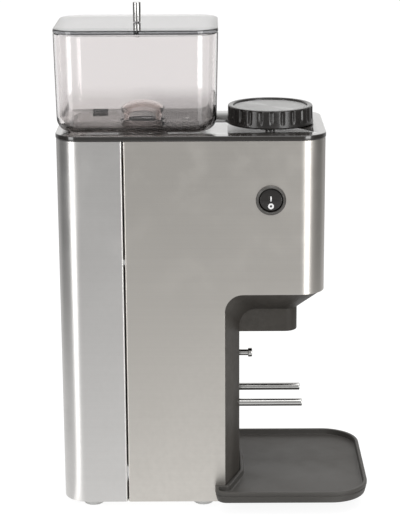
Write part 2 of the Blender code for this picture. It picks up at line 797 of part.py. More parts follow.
def hopper_lid():
    at = pivot("lid_lift", (0, HOPPER_Y, LID_Z))
    top = LID_Z + LID_THICKNESS
    x = HOPPER_WIDTH / 2
    y = HOPPER_LENGTH / 2
    lip = HOPPER_WALL + 2 * FIT
    depth = LID_Z - LID_LIP
    draft = (LID_LIP + FIT) * tan(HOPPER_DRAFT)

    def level(inset, z):
        radius = HOPPER_R - inset
        outline = round_rectangle(-x + inset, x - inset, -y + inset, y - inset, radius)
        return [(a, HOPPER_Y + b, z) for a, b in outline]

    plate = loft([level(0, LID_Z), level(0, top - LID_EDGE), level(LID_EDGE, top)])
    obj = piece("hopper_lid", plate, smoke_clear(), parent=at)
    rooted = LID_Z + 1 * MM
    inner = lip + LIP_WIDTH
    rim = [level(lip + draft, depth), level(lip, rooted), level(inner, rooted), level(inner + draft, depth)]
    boolean(obj, loft(rim, closed=True), "UNION")
    boolean(obj, rod(LID_STUD_R + FIT, LID_Z - 9 * MM, top + 9 * MM, steps=16), location=(0, HOPPER_Y, 0))
    nut_top = LID_Z - FIT
    nut_low = nut_top - LID_NUT_HEIGHT
    edge = 0.6 * MM
    pin = [
        (LID_STUD_R, nut_low - 1.1 * MM),
        (LID_STUD_R, top + FIT),
        (LID_PIN_R, top + FIT),
        (LID_PIN_R, top + LID_PIN_HEIGHT - edge),
        (LID_PIN_R - edge, top + LID_PIN_HEIGHT),
    ]
    piece("lid_pin", solid_turned(pin, 20), bright_steel(), (0, HOPPER_Y, 0), at)
    bore = LID_STUD_R + FIT
    nut = [(bore, nut_low), (LID_SCREW_R, nut_low), (LID_SCREW_R, nut_top), (bore, nut_top)]
    piece("lid_pin_nut", turned(nut, 20), bright_steel(), (0, HOPPER_Y, 0), at)
    return obj


def hopper_peg():
    edge = 1 * MM
    top = DECK_TOP + PEG_HEIGHT
    profile = [(PEG_R, DECK_TOP + FIT), (PEG_R, top - edge), (PEG_R - edge, top)]
    return piece("hopper_peg", solid_turned(profile, 20), bright_steel(), (0, PEG_Y, 0))


def hopper_sensor():
    """Switch under the deck that the hopper's magnet closes."""
    size = (8 * MM, 16 * MM, 5 * MM)
    spot = (MAGNET_SIDE, DRIVE_Y + MAGNET_BEHIND, DECK_TOP - DECK_THICKNESS - FIT - size[2] / 2)
    return piece("hopper_sensor", block(size), gloss_black(), spot, smooth=False)


# ---------------------------------------------------------------- adjusting train

def knob_radius(turn):
    """The ribbed grip: a row of shallow scallops round the rim."""
    return KNOB_R - SCALLOP_DEPTH * (0.5 - 0.5 * cos(KNOB_SCALLOPS * turn))


def adjust_knob(at):
    steps = KNOB_SCALLOPS * 2
    low = DECK_TOP + 2 * FIT
    top = DECK_TOP + KNOB_HEIGHT
    disc_seat = top - KNOB_DISC_RECESS - KNOB_DISC - FIT
    rim = KNOB_R - KNOB_RIM
    hub = KNOB_SHAFT_R + KNOB_HUB_WALL
    bore = KNOB_SHAFT_R + FIT
    under = disc_seat - KNOB_WALL

    def plain(radius, z):
        return [(x, y, z) for x, y in circle(radius, steps)]

    def ribbed(inset, z):
        loop = []
        for i in range(steps):
            turn = 2 * pi * i / steps
            radius = knob_radius(turn) - inset
            loop.append((radius * cos(turn), radius * sin(turn), z))
        return loop

    loops = [
        plain(KNOB_R + KNOB_FLARE, low),
        plain(KNOB_R + KNOB_FLARE, low + 1.6 * MM),
        ribbed(0, low + 2 * MM),
        ribbed(0, top - 1.6 * MM),
        plain(KNOB_R - 1 * MM, top - 0.2 * MM),
        plain(rim, top),
        plain(rim, disc_seat),
        plain(bore, disc_seat),
        plain(bore, low),
        plain(hub, low),
        plain(hub, under),
        plain(rim, under),
        plain(KNOB_R - KNOB_WALL, under - 2 * MM),
        plain(KNOB_R - KNOB_WALL, low),
    ]
    piece("adjust_knob", loft(loops, closed=True), gloss_black(), (0, KNOB_Y, 0), at)
    disc = [(rim - FIT, disc_seat + FIT), (rim - FIT, disc_seat + FIT + KNOB_DISC)]
    piece("knob_disc", solid_turned(disc, 32), disc_grey(), (0, KNOB_Y, 0), at)
    shaft = [(KNOB_SHAFT_R, GEAR_Z - 1 * MM), (KNOB_SHAFT_R, disc_seat)]
    piece("knob_shaft", solid_turned(shaft, 24), bright_steel(), (0, KNOB_Y, 0), at)


def gear(name, teeth, phase, bore, surface, place, at):
    body = slab(gear_outline(teeth, phase), GEAR_Z, GEAR_Z + GEAR_WIDTH)
    obj = piece(name, body, surface, place, at, smooth=False)
    return boolean(obj, rod(bore, GEAR_Z - 5 * MM, GEAR_Z + GEAR_WIDTH + 5 * MM), location=place)


def adjusting_train():
    """Knob pinion, idler and adjusting ring, tooth to gap along the line through their axes."""
    tooth_forward = -pi / 2
    tooth_back = pi / 2
    knob = pivot("knob_turn", (0, KNOB_Y, 0))
    adjust_knob(knob)
    gear("knob_gear", PINION_TEETH, tooth_back, KNOB_SHAFT_R + FIT, brass(), (0, KNOB_Y, 0), knob)
    idler = pivot("idler_turn", (0, IDLER_Y, 0))
    half_tooth = pi / IDLER_TEETH
    phase = tooth_back + half_tooth
    gear("idler_gear", IDLER_TEETH, phase, KNOB_SHAFT_R + FIT, gear_nylon(), (0, IDLER_Y, 0), idler)
    ring = pivot("ring_turn", (0, DRIVE_Y, 0))
    gear("adjusting_ring", RING_TEETH, tooth_forward, CARRIER_NECK_R + FIT, brass(), (0, DRIVE_Y, 0), ring)
    pin = [(KNOB_SHAFT_R, GEAR_Z - 2.4 * MM), (KNOB_SHAFT_R, STEEL_TOP - 1 * MM)]
    piece("idler_pin", solid_turned(pin, 24), bright_steel(), (0, IDLER_Y, 0))


def gear_bridge():
    """Plate under the idler and the knob's pinion."""
    top = GEAR_Z - 2.4 * MM - FIT
    outline = round_rectangle(-18 * MM, 18 * MM, KNOB_Y - 14 * MM, IDLER_Y + 14 * MM, 6 * MM, 3)
    return piece("gear_bridge", slab(outline, top - 2.5 * MM, top), zinc_plate())


def ring_retainer():
    """Plate that keeps the ring down, on two legs that stand on the burr housing's ears."""
    low = GEAR_Z + GEAR_WIDTH + FIT
    post = INNER - 5 * MM
    seat = CARRIER_Z + FIT
    bore = CARRIER_NECK_R + 1.5 * MM
    top = low + RETAINER_THICKNESS
    profile = [(bore, low), (RING_R, low), (RING_R, top), (bore, top)]
    obj = piece("ring_retainer", turned(profile), zinc_plate(), (0, DRIVE_Y, 0))
    for x in (-post, post):
        length = post + POST_R - RING_R + 3 * MM
        middle = (post + POST_R - length / 2) * (1 if x > 0 else -1)
        ear = block((length, EAR_WIDTH, RETAINER_THICKNESS), (middle, DRIVE_Y, (low + top) / 2))
        boolean(obj, ear, "UNION")
        boolean(obj, rod(POST_R, seat, top - 0.5 * MM, steps=12), "UNION", (x, DRIVE_Y, 0))
    return obj


# ---------------------------------------------------------------- burrs, drive and motor

def burr_housing():
    """Grinding chamber: floor, wall, neck down to the bracket, and an ear each side for the retainer."""
    outer = CHAMBER_R + CHAMBER_WALL
    neck = BEARING_R + 5 * MM
    neck_bore = DRIVE_SHAFT_R + 3 * MM
    foot = BRACKET_Z + BRACKET_THICKNESS + FIT
    profile = [
        (neck_bore, foot),
        (neck, foot),
        (neck, CHAMBER_FLOOR - CHAMBER_WALL),
        (outer, CHAMBER_FLOOR - CHAMBER_WALL),
        (outer, CARRIER_Z),
        (CHAMBER_R, CARRIER_Z),
        (CHAMBER_R, CHAMBER_FLOOR),
        (neck_bore, CHAMBER_FLOOR),
    ]
    obj = piece("burr_housing", turned(profile), aluminium(), (0, DRIVE_Y, 0))
    post = INNER - 5 * MM
    start = CHAMBER_R + 1 * MM
    length = post + 3 * MM - start
    for side in (-1, 1):
        centre = (side * (start + length / 2), DRIVE_Y, CARRIER_Z - EAR_HEIGHT / 2)
        boolean(obj, block((length, EAR_WIDTH, EAR_HEIGHT), centre), "UNION")
    window = rod(CHUTE_R - CHUTE_WALL, -outer - 10 * MM, -BEARING_R - 8 * MM, "Y", 20)
    return boolean(obj, window, location=(0, DRIVE_Y, CHUTE_Z))


def upper_burr_set():
    at = pivot("burr_adjust", (0, DRIVE_Y, CARRIER_Z))
    top = GEAR_Z + GEAR_WIDTH + 4 * MM
    flange = CHAMBER_R - FIT
    bore = THROAT_R + 0.5 * MM
    shoulder = CARRIER_Z + CARRIER_FLANGE - 1 * MM
    carrier = [(bore, CARRIER_Z), (flange, CARRIER_Z), (flange, shoulder)]
    carrier += [(CARRIER_NECK_R, shoulder), (CARRIER_NECK_R, top), (bore, top)]
    piece("upper_burr_carrier", turned(carrier), aluminium(), (0, DRIVE_Y, 0), at)
    burr("upper_burr", UPPER_BURR_Z, at, UPPER_BURR_Z)


def burr(name, low, at, teeth_z):
    """A flat ring burr with radial cutting grooves in its working face."""
    high = low + BURR_THICKNESS
    ring = turned([(BURR_BORE, low), (BURR_R, low), (BURR_R, high), (BURR_BORE, high)])
    obj = piece(name, ring, burr_steel(), (0, DRIVE_Y, 0), at)
    length = 1.5 * (BURR_R - BURR_BORE)
    width = 1.6 * MM
    lay = Matrix.Translation((BURR_R, 3 * MM, teeth_z)) @ Matrix.Rotation(radians(45), 4, "X")
    bm = bmesh.new()
    for i in range(GROOVES):
        spin = Matrix.Rotation(2 * pi * i / GROOVES, 4, "Z") @ lay
        bmesh.ops.create_cube(bm, size=1, matrix=spin @ Matrix.Diagonal((length, width, width, 1)))
    return boolean(obj, bm, location=(0, DRIVE_Y, 0))


def drive_train():
    """Everything that spins with the motor's shaft."""
    at = pivot("motor_turn", (0, DRIVE_Y, 0))
    place = (0, DRIVE_Y, 0)
    bore = DRIVE_SHAFT_R + FIT
    fan_z = MOTOR_BOTTOM - FAN_HEIGHT - 3 * MM
    shaft = [(DRIVE_SHAFT_R, fan_z - 3 * MM), (DRIVE_SHAFT_R, UPPER_BURR_Z + 2 * MM)]
    piece("drive_shaft", solid_turned(shaft, 24), bright_steel(), place, at)
    middle = MOTOR_BOTTOM + MOTOR_LENGTH / 2
    low, high = middle - STACK_LENGTH / 2, middle + STACK_LENGTH / 2
    rotor = [(bore, low), (ROTOR_R, low), (ROTOR_R, high), (bore, high)]
    piece("motor_rotor", turned(rotor), burr_steel(), place, at)
    carrier_low = CHAMBER_FLOOR + 1.2 * MM
    carrier_high = LOWER_BURR_Z - FIT
    disc = BURR_R + 1 * MM
    lower = [(bore, carrier_low), (disc, carrier_low), (disc, carrier_high), (bore, carrier_high)]
    piece("lower_burr_carrier", turned(lower), aluminium(), place, at)
    burr("lower_burr", LOWER_BURR_Z, at, LOWER_BURR_Z + BURR_THICKNESS)
    auger = [
        (bore, carrier_high + FIT),
        (9 * MM, carrier_high + FIT),
        (9 * MM, UPPER_BURR_Z),
        (7.5 * MM, UPPER_BURR_Z + 3 * MM),
        (bore, UPPER_BURR_Z + 3 * MM),
    ]
    obj = piece("feed_auger", turned(auger, 24), bright_steel(), place, at)
    for turn in (0, 90):
        arm = block((25 * MM, 3 * MM, 5 * MM), (0, 0, UPPER_BURR_Z + 3.5 * MM))
        bmesh.ops.rotate(arm, verts=arm.verts, matrix=Matrix.Rotation(radians(turn + 20), 3, "Z"))
        boolean(obj, arm, "UNION", place)
    boolean(obj, rod(bore, UPPER_BURR_Z - 9 * MM, UPPER_BURR_Z + 2 * MM + FIT), location=place)
    cooling_fan(at, fan_z, bore)


def cooling_fan(at, low, bore):
    hub = 12 * MM
    profile = [(bore, low), (hub, low), (hub, low + FAN_HEIGHT), (bore, low + FAN_HEIGHT)]
    obj = piece("cooling_fan", turned(profile, 28), gloss_black(), (0, DRIVE_Y, 0), at)
    reach = MOTOR_R - 6 * MM
    root = hub - 2 * MM
    for i in range(FAN_BLADES):
        blade = block((reach - root, 1.6 * MM, FAN_HEIGHT - 1 * MM), ((reach + root) / 2, 0, 0))
        bmesh.ops.rotate(blade, verts=blade.verts, matrix=Matrix.Rotation(radians(28), 3, "X"))
        bmesh.ops.rotate(blade, verts=blade.verts, matrix=Matrix.Rotation(2 * pi * i / FAN_BLADES, 3, "Z"))
        boolean(obj, blade, "UNION", (0, DRIVE_Y, low + FAN_HEIGHT / 2))
    return obj


def motor():
    place = (0, DRIVE_Y, 0)
    hole = DRIVE_SHAFT_R + 3 * MM
    inner = MOTOR_R - MOTOR_WALL
    low, high = MOTOR_BOTTOM, MOTOR_TOP - 4 * MM
    floor = low + MOTOR_WALL
    can = [(hole, low), (MOTOR_R, low), (MOTOR_R, high), (inner, high), (inner, floor), (hole, floor)]
    piece("motor_can", turned(can), motor_paint(), place)
    cap = [(hole, high + FIT), (MOTOR_R, high + FIT), (MOTOR_R, MOTOR_TOP), (hole, MOTOR_TOP)]
    piece("motor_cap", turned(cap), aluminium(), place)
    middle = MOTOR_BOTTOM + MOTOR_LENGTH / 2
    low, high = middle - STACK_LENGTH / 2, middle + STACK_LENGTH / 2
    stator_r = inner - FIT
    stator_bore = ROTOR_R + AIR_GAP
    stator = [(stator_bore, low), (stator_r, low), (stator_r, high), (stator_bore, high)]
    piece("motor_stator", turned(stator), burr_steel(), place)
    bearing("lower_bearing", MOTOR_BOTTOM + MOTOR_WALL + FIT)
    bearing("upper_bearing", BRACKET_Z + BRACKET_THICKNESS - BEARING_WIDTH)


def bearing(name, low):
    bore = DRIVE_SHAFT_R + FIT
    high = low + BEARING_WIDTH
    ring = [(bore, low), (BEARING_R, low), (BEARING_R, high), (bore, high)]
    return piece(name, turned(ring, 28), bright_steel(), (0, DRIVE_Y, 0))


def bearing_bracket():
    """Cross plate that carries the upper bearing and the burr housing between the steel sides."""
    side = INNER - FIT
    outline = round_rectangle(-side, side, DRIVE_Y - MOTOR_R, DRIVE_Y + MOTOR_R, 12 * MM, 4)
    obj = piece("bearing_bracket", slab(outline, BRACKET_Z, BRACKET_Z + BRACKET_THICKNESS), aluminium())
    place = (0, DRIVE_Y, 0)
    boolean(obj, rod(BEARING_R + 3 * MM, BRACKET_Z - 3 * MM, BRACKET_Z + 2 * MM), "UNION", place)
    return boolean(obj, rod(BEARING_R + FIT, BRACKET_Z - 9 * MM, BRACKET_Z + 9 * MM), location=place)


def electrics():
    rear = REAR_Y - SHEET
    board = block((70 * MM, 1.6 * MM, 90 * MM))
    piece("control_board", board, board_green(), (0, rear - 5 * MM, 125 * MM), smooth=False)
    capacitor = solid_turned([(9 * MM, -20 * MM), (9 * MM, 20 * MM)], 24)
    piece("start_capacitor", capacitor, aluminium(), (HALF - 17 * MM, rear - 16 * MM, 100 * MM))


# ---------------------------------------------------------------- rocker switch

def rocker_switch():
    face = -HALF
    edge = 0.8 * MM
    profile = [
        (ROCKER_R + 2 * FIT, face - BEZEL_PROUD),
        (BEZEL_R - edge, face - BEZEL_PROUD),
        (BEZEL_R, face - BEZEL_PROUD + edge),
        (BEZEL_R, face - FIT),
        (SWITCH_R, face - FIT),
        (SWITCH_R, face + SWITCH_DEPTH),
        (4 * MM, face + SWITCH_DEPTH),
        (4 * MM, face + SWITCH_POCKET),
        (ROCKER_R + 2 * FIT, face + SWITCH_POCKET),
    ]
    piece("switch_housing", turned(profile[::-1], 32, "X"), gloss_black(), (0, SWITCH_Y, SWITCH_Z))
    at = pivot("rocker_turn", (face + ROCKER_AXIS_IN, SWITCH_Y, SWITCH_Z))
    bm = solid_turned([(ROCKER_R, -6 * MM), (ROCKER_R, ROCKER_BACK)], 32, "X")
    obj = piece("rocker_button", bm, gloss_black(), tuple(at.location), at)
    # the face is a shallow V: each half leans back by twice the tilt from the ridge
    ridge = -ROCKER_RIDGE
    reach = 14 * MM
    front = -20 * MM
    lean = reach * tan(ROCKER_TILT) * 2
    for side in (reach, -reach):
        wedge = [(ridge, 0), (ridge + lean, side), (front, side), (front, 0)]
        boolean(obj, slab(wedge, -reach, reach, "Y"), location=at.location)
    obj.rotation_euler = (0, ROCKER_TILT, 0)
    for step in obj.modifiers:
        step.object.parent = at
        step.object.location = (0, 0, 0)
        step.object.rotation_euler = (0, ROCKER_TILT, 0)
    return obj


# ---------------------------------------------------------------- fork and trigger

def fork():
    """Two rods that carry the portafilter, and the plate behind the panel that holds them."""
    tip = PANEL_Y - ROD_REACH
    plate_y = PANEL_Y + MOULD_WALL + 14 * MM
    plate = block((ROD_SPREAD + 18 * MM, 3 * MM, 16 * MM))
    obj = piece("fork_plate", plate, zinc_plate(), (0, plate_y, ROD_HEIGHT), smooth=False)
    for side, x in (("left", -ROD_SPREAD / 2), ("right", ROD_SPREAD / 2)):
        boolean(obj, rod(ROD_R + FIT, -9 * MM, 9 * MM, "Y", 24), location=(x, plate_y, ROD_HEIGHT))
        profile = [(ROD_R - 0.5 * MM, tip), (ROD_R, tip + 0.5 * MM), (ROD_R, plate_y + 4 * MM)]
        piece(f"fork_rod_{side}", solid_turned(profile, 24, "Y"), bright_steel(), (x, 0, ROD_HEIGHT))


def trigger():
    inside = PANEL_Y + MOULD_WALL
    guide_r = TRIGGER_R + GUIDE_WALL
    guide_rear = inside + GUIDE_LENGTH
    bore = TRIGGER_R + FIT
    flange_r = guide_r + GUIDE_FLANGE
    guide = [
        (bore, PANEL_Y + FIT),
        (guide_r, PANEL_Y + FIT),
        (guide_r, inside + FIT),
        (flange_r, inside + FIT),
        (flange_r, inside + GUIDE_FLANGE),
        (guide_r, inside + GUIDE_FLANGE),
        (guide_r, guide_rear),
        (bore, guide_rear),
    ]
    place = (0, 0, TRIGGER_HEIGHT)
    piece("trigger_guide", turned(guide, 24, "Y"), brass(), place)
    at = pivot("trigger_push", (0, PANEL_Y, TRIGGER_HEIGHT))
    tip = PANEL_Y - TRIGGER_REACH
    collar = guide_rear + FIT
    collar_rear = collar + COLLAR_WIDTH
    tail = collar_rear + 5 * MM
    edge = 0.6 * MM
    pin = [
        (TRIGGER_HEAD_R - edge, tip),
        (TRIGGER_HEAD_R, tip + edge),
        (TRIGGER_HEAD_R, tip + TRIGGER_HEAD),
        (TRIGGER_R, tip + TRIGGER_HEAD),
        (TRIGGER_R, collar),
        (COLLAR_R, collar),
        (COLLAR_R, collar_rear),
        (TRIGGER_R, collar_rear),
        (TRIGGER_R, tail),
    ]
    piece("trigger_pin", solid_turned(pin, 20, "Y"), bright_steel(), place, at)
    wall = tail + 3.2 * MM
    trigger_spring(at, collar_rear + FIT, wall - FIT)
    trigger_bracket(wall, guide_rear)
    microswitch(wall)


def trigger_spring(at, front, rear):
    """Compression coil round the pin's tail."""
    wire = 0.35 * MM
    coil_r = TRIGGER_R + FIT + wire
    turns, sides = 4, 10
    length = rear - front - 2 * wire
    curve = bpy.data.curves.new("trigger_spring", "CURVE")
    curve.dimensions = "3D"
    curve.bevel_depth = wire
    curve.bevel_resolution = 0
    curve.use_fill_caps = True
    line = curve.splines.new("POLY")
    line.points.add(turns * sides)
    for i, point in enumerate(line.points):
        turn = 2 * pi * i / sides
        point.co = (coil_r * cos(turn), front + wire + length * i / (turns * sides), coil_r * sin(turn), 1)
    obj = bpy.data.objects.new("trigger_spring", curve)
    bpy.context.scene.collection.objects.link(obj)
    obj.data.materials.append(bright_steel())
    obj.parent = at
    obj.location = Vector((0, 0, TRIGGER_HEIGHT)) - at.location
    return obj


def trigger_bracket(wall, guide_rear):
    """Angle bracket: its upright stops the spring, its top flange reaches the panel."""
    width, thick, height = 16 * MM, 1.5 * MM, 22 * MM
    rear = wall + thick
    upright = block((width, thick, height), (0, rear - thick / 2, TRIGGER_HEIGHT))
    obj = piece("trigger_bracket", upright, zinc_plate(), smooth=False)
    length = rear - guide_rear + 8 * MM
    top = (0, rear - length / 2, TRIGGER_HEIGHT + (height - thick) / 2)
    boolean(obj, block((width, length, thick), top), "UNION")
    return boolean(obj, rod(TRIGGER_R + FIT, -9 * MM, 9 * MM, "Y", 20), location=(0, wall, TRIGGER_HEIGHT))


def microswitch(wall):
    """Small snap switch under the pin, whose lever the collar presses."""
    top = TRIGGER_HEIGHT - 7 * MM
    length = 18 * MM
    rear = wall - 1 * MM
    height = 9 * MM
    body = block((6.4 * MM, length, height), (0, rear - length / 2, top - height / 2))
    piece("microswitch_body", body, gloss_black(), smooth=False)
    pivot_y = rear - length + 2 * MM
    at = pivot("lever_turn", (0, pivot_y, top + 1.2 * MM))
    reach = length - 5 * MM
    lever = block((5 * MM, reach, 0.5 * MM), (0, reach / 2, 0))
    return piece("microswitch_lever", lever, bright_steel(), tuple(at.location), at, smooth=False)


def build():
    clear_scene()
    rear_cover()
    front_shell()
    top_deck()
    base_plate()
    front_moulding()
    spout_nozzle()
    exit_chute()
    feet()
    cable_gland()
    drip_tray()
    hopper_body()
    hopper_lid()
    hopper_peg()
    hopper_sensor()
    adjusting_train()
    gear_bridge()
    ring_retainer()
    burr_housing()
    upper_burr_set()
    drive_train()
    motor()
    bearing_bracket()
    electrics()
    rocker_switch()
    fork()
    trigger()


build()
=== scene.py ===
import math

import bmesh
import bpy
import numpy as np
from mathutils import Matrix, Vector


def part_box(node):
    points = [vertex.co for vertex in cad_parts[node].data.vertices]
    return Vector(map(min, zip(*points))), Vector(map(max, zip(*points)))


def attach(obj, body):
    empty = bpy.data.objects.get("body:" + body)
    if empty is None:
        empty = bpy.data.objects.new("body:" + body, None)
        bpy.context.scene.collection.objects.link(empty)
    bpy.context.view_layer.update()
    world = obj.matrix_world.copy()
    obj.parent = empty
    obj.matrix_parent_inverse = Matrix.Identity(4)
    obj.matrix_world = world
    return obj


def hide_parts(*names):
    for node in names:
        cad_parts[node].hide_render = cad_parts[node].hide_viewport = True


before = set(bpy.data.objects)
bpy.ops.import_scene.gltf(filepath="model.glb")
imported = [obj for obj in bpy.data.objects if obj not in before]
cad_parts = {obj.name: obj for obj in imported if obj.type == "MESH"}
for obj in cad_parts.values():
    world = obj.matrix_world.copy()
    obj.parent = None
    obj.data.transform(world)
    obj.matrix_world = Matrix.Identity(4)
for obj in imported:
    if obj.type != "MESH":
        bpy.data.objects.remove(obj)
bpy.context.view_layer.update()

mm = 0.001
core = 0.02 * mm         # radius at which a turned solid closes on its axis
scene = bpy.context.scene


def span(node):          # lowest and highest corner of a CAD solid, as arrays
    low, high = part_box(node)
    return np.array(low), np.array(high)


def centreOf(node):
    low, high = span(node)
    return (low + high) / 2


# ---- mesh tools ----

def gridQuads(rows, cols, wrapRows=False, wrapCols=False):
    # quad (i, j) joins the points i*cols+j, i*cols+j+1, (i+1)*cols+j+1 and (i+1)*cols+j
    i, j = np.meshgrid(np.arange(rows if wrapRows else rows - 1),
                       np.arange(cols if wrapCols else cols - 1), indexing="ij")
    below, beside = (i + 1) % rows, (j + 1) % cols
    quads = [i * cols + j, i * cols + beside, below * cols + beside, below * cols + j]
    return np.stack(quads, -1).reshape(-1, 4)


def weld(points, faces, near=1e-6):
    # points closer than near become one, and quads that lose a side become triangles
    keys, first, index = np.unique(np.round(points / near).astype(np.int64), axis=0,
                                   return_index=True, return_inverse=True)
    index = index.reshape(-1)
    trimmed = [list(dict.fromkeys(index[face].tolist())) for face in faces]
    return points[first], [face for face in trimmed if len(face) > 2], index


def smooth(piece, sharp):
    piece.data.shade_smooth()
    piece.data.set_sharp_from_angle(angle=math.radians(sharp))
    return piece


def addPiece(name, points, faces, body, slotName, node=None, uv=None, sharp=38, outward=True,
             finish=None):
    # faces is a list of point-number lists; uv gives one pair for each point
    points = np.asarray(points, float).reshape(-1, 3)
    points, faces, index = weld(points, [np.asarray(face) for face in faces])
    mesh = bpy.data.meshes.new(name)
    mesh.from_pydata(points.tolist(), [], faces)
    if uv is not None:
        flat = np.zeros((len(points), 2))
        flat[index] = uv.reshape(-1, 2)
        corner = np.empty(len(mesh.loops), np.int32)
        mesh.loops.foreach_get("vertex_index", corner)
        mesh.uv_layers.new(name="wrap").data.foreach_set("uv", flat[corner].ravel())
    if outward:
        turnOutward(mesh)
    mesh.materials.append(finish or finishes[slotName])
    piece = bpy.data.objects.new(name, mesh)
    scene.collection.objects.link(piece)
    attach(piece, body)
    if node:
        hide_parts(node)
    return smooth(piece, sharp)


def turnOutward(mesh, slivers=0.0):
    # normals outwards; slivers also removes faces that are narrower than that
    shape = bmesh.new()
    shape.from_mesh(mesh)
    if slivers:
        bmesh.ops.dissolve_degenerate(shape, edges=shape.edges, dist=slivers)
    bmesh.ops.recalc_face_normals(shape, faces=shape.faces)
    shape.to_mesh(mesh)
    shape.free()


def freeze(piece):
    # puts the result of the modifiers into the mesh
    shaped = piece.evaluated_get(bpy.context.evaluated_depsgraph_get())
    mesh = bpy.data.meshes.new_from_object(shaped)
    piece.modifiers.clear()
    piece.data = mesh
    return piece


def thicken(piece, thickness, offset):
    wall = piece.modifiers.new("wall", "SOLIDIFY")
    wall.thickness = thickness
    wall.offset = offset
    return freeze(piece)


def carve(piece, rings, operation="DIFFERENCE"):
    # cuts or joins a helper shape made of rings, then removes the helper
    mesh = bpy.data.meshes.new("cutter")
    mesh.from_pydata(rings.reshape(-1, 3).tolist(), [], skin(rings))
    turnOutward(mesh)
    cutter = bpy.data.objects.new("cutter", mesh)
    scene.collection.objects.link(cutter)
    step = piece.modifiers.new("carve", "BOOLEAN")
    step.operation = operation
    step.solver = "EXACT"
    step.object = cutter
    freeze(piece)
    bpy.data.objects.remove(cutter, do_unlink=True)
    return piece


def drill(piece, radius, low, high, centre, axis="Z", steps=48):
    return carve(piece, turnedRings([(radius, low), (radius, high)], centre, axis, steps))


def softEdges(piece, width, angle=40, flatSides=False):
    bevel = piece.modifiers.new("soft edges", "BEVEL")
    bevel.width = width
    bevel.segments = 2
    bevel.limit_method = "ANGLE"
    bevel.angle_limit = math.radians(angle)
    smooth(freeze(piece), 38)
    if flatSides:            # large faces keep their own normal, so that the bevel does not shade them
        even = piece.modifiers.new("flat sides", "WEIGHTED_NORMAL")
        even.keep_sharp = True
        even.weight = 100
        freeze(piece)
    return piece


def quarter(steps):
    # the angles of a quarter turn, steps + 1 of them
    return np.linspace(0, math.pi / 2, steps + 1)


def bendCurve(a, corner, c, t):
    # the curve (1-t)^2 A + 2t(1-t) P + t^2 C that rounds the corner P
    return (1 - t) ** 2 * a + 2 * t * (1 - t) * corner + t ** 2 * c


def rounded(corners, radii, steps=5, closed=True):
    # each corner becomes such a curve, with A and C on its two sides at the radius
    corners = np.asarray(corners, float)
    before, after = np.roll(corners, 1, 0) - corners, np.roll(corners, -1, 0) - corners
    longBefore = np.linalg.norm(before, axis=1, keepdims=True)
    longAfter = np.linalg.norm(after, axis=1, keepdims=True)
    radii = np.broadcast_to(np.asarray(radii, float), len(corners))[:, None]
    radii = np.minimum(radii, 0.45 * np.minimum(longBefore, longAfter))
    a = corners + radii * before / longBefore
    c = corners + radii * after / longAfter
    if not closed:
        a[0] = c[0] = corners[0]
        a[-1] = c[-1] = corners[-1]
    t = np.linspace(0, 1, steps + 1)[None, :, None]
    curve = bendCurve(a[:, None], corners[:, None], c[:, None], t).reshape(-1, corners.shape[1])
    keep = np.linalg.norm(curve - np.roll(curve, 1, 0), axis=1) > 1e-7
    return curve[keep]


def roundLoop(halfX, front, rear, radius, cornerSteps=12, sideSteps=1):
    # a rounded rectangle, anticlockwise: corner centre + radius (cos t, sin t), with points along the sides
    turns = quarter(cornerSteps)[None] + np.arange(4)[:, None] * math.pi / 2
    centreX = np.array([1, -1, -1, 1])[:, None] * (halfX - radius)
    centreY = np.array([rear - radius, rear - radius, front + radius, front + radius])[:, None]
    arcs = np.stack([centreX + radius * np.cos(turns), centreY + radius * np.sin(turns)], -1)
    share = (np.arange(1, sideSteps) / sideSteps)[None, :, None]
    sides = arcs[:, -1:] * (1 - share) + np.roll(arcs, -1, 0)[:, :1] * share
    return np.concatenate([arcs, sides], 1).reshape(-1, 2)


def insetLoop(loop, inset):
    # a closed plan moved inwards: point - inset (n1 + n2) / (1 + n1.n2), n being the normals of its two sides
    side = np.roll(loop, -1, 0) - loop
    normal = np.stack([side[:, 1], -side[:, 0]], -1)
    normal /= np.linalg.norm(normal, axis=1, keepdims=True)
    before = np.roll(normal, 1, 0)
    both = (normal + before) / (1 + (normal * before).sum(1, keepdims=True))
    return loop - inset * both


def lift(plan, height):
    return np.column_stack([plan, np.full(len(plan), height)])


def carryProfile(loop, profile):
    # a section of (inset, height) pairs carried round a plan; one ring for each pair
    return np.stack([lift(insetLoop(loop, inset), height) for inset, height in profile])


def turnedRings(profile, centre, axis="Z", steps=48):
    # a section of (radius, height) pairs spun about an axis: centre + radius (cos t, sin t) + height
    turn = np.arange(steps) * 2 * math.pi / steps
    profile = np.asarray(profile, float)
    radius, height = profile[:, :1], np.broadcast_to(profile[:, 1:], (len(profile), steps))
    across, up = radius * np.cos(turn), radius * np.sin(turn)
    order = {"Z": (across, up, height), "Y": (across, height, up), "X": (height, across, up)}[axis]
    return np.stack(order, -1) + np.asarray(centre, float)


def skin(rings, closed=False):
    # quads between rings of equal length; closed joins last to first, otherwise each end is one flat face
    rows, cols = rings.shape[:2]
    faces = gridQuads(rows, cols, wrapRows=closed, wrapCols=True).tolist()
    if not closed:
        faces += [list(range(cols))[::-1], list(range((rows - 1) * cols, rows * cols))]
    return faces


def turnedPiece(name, profile, centre, body, slotName, node, axis="Z", steps=48, closed=False,
                fillet=0.3 * mm, finish=None):
    # a closed section makes a ring; an open one makes a solid with flat ends
    rings = turnedRings(rounded(profile, fillet, 4, closed), centre, axis, steps)
    return addPiece(name, rings, skin(rings, closed), body, slotName, node, finish=finish)


# ---- shader tools ----

def connect(tree, socket, value):
    # a socket takes a link from another socket, or else a plain value
    if isinstance(value, bpy.types.NodeSocket):
        tree.links.new(value, socket)
    else:
        socket.default_value = value


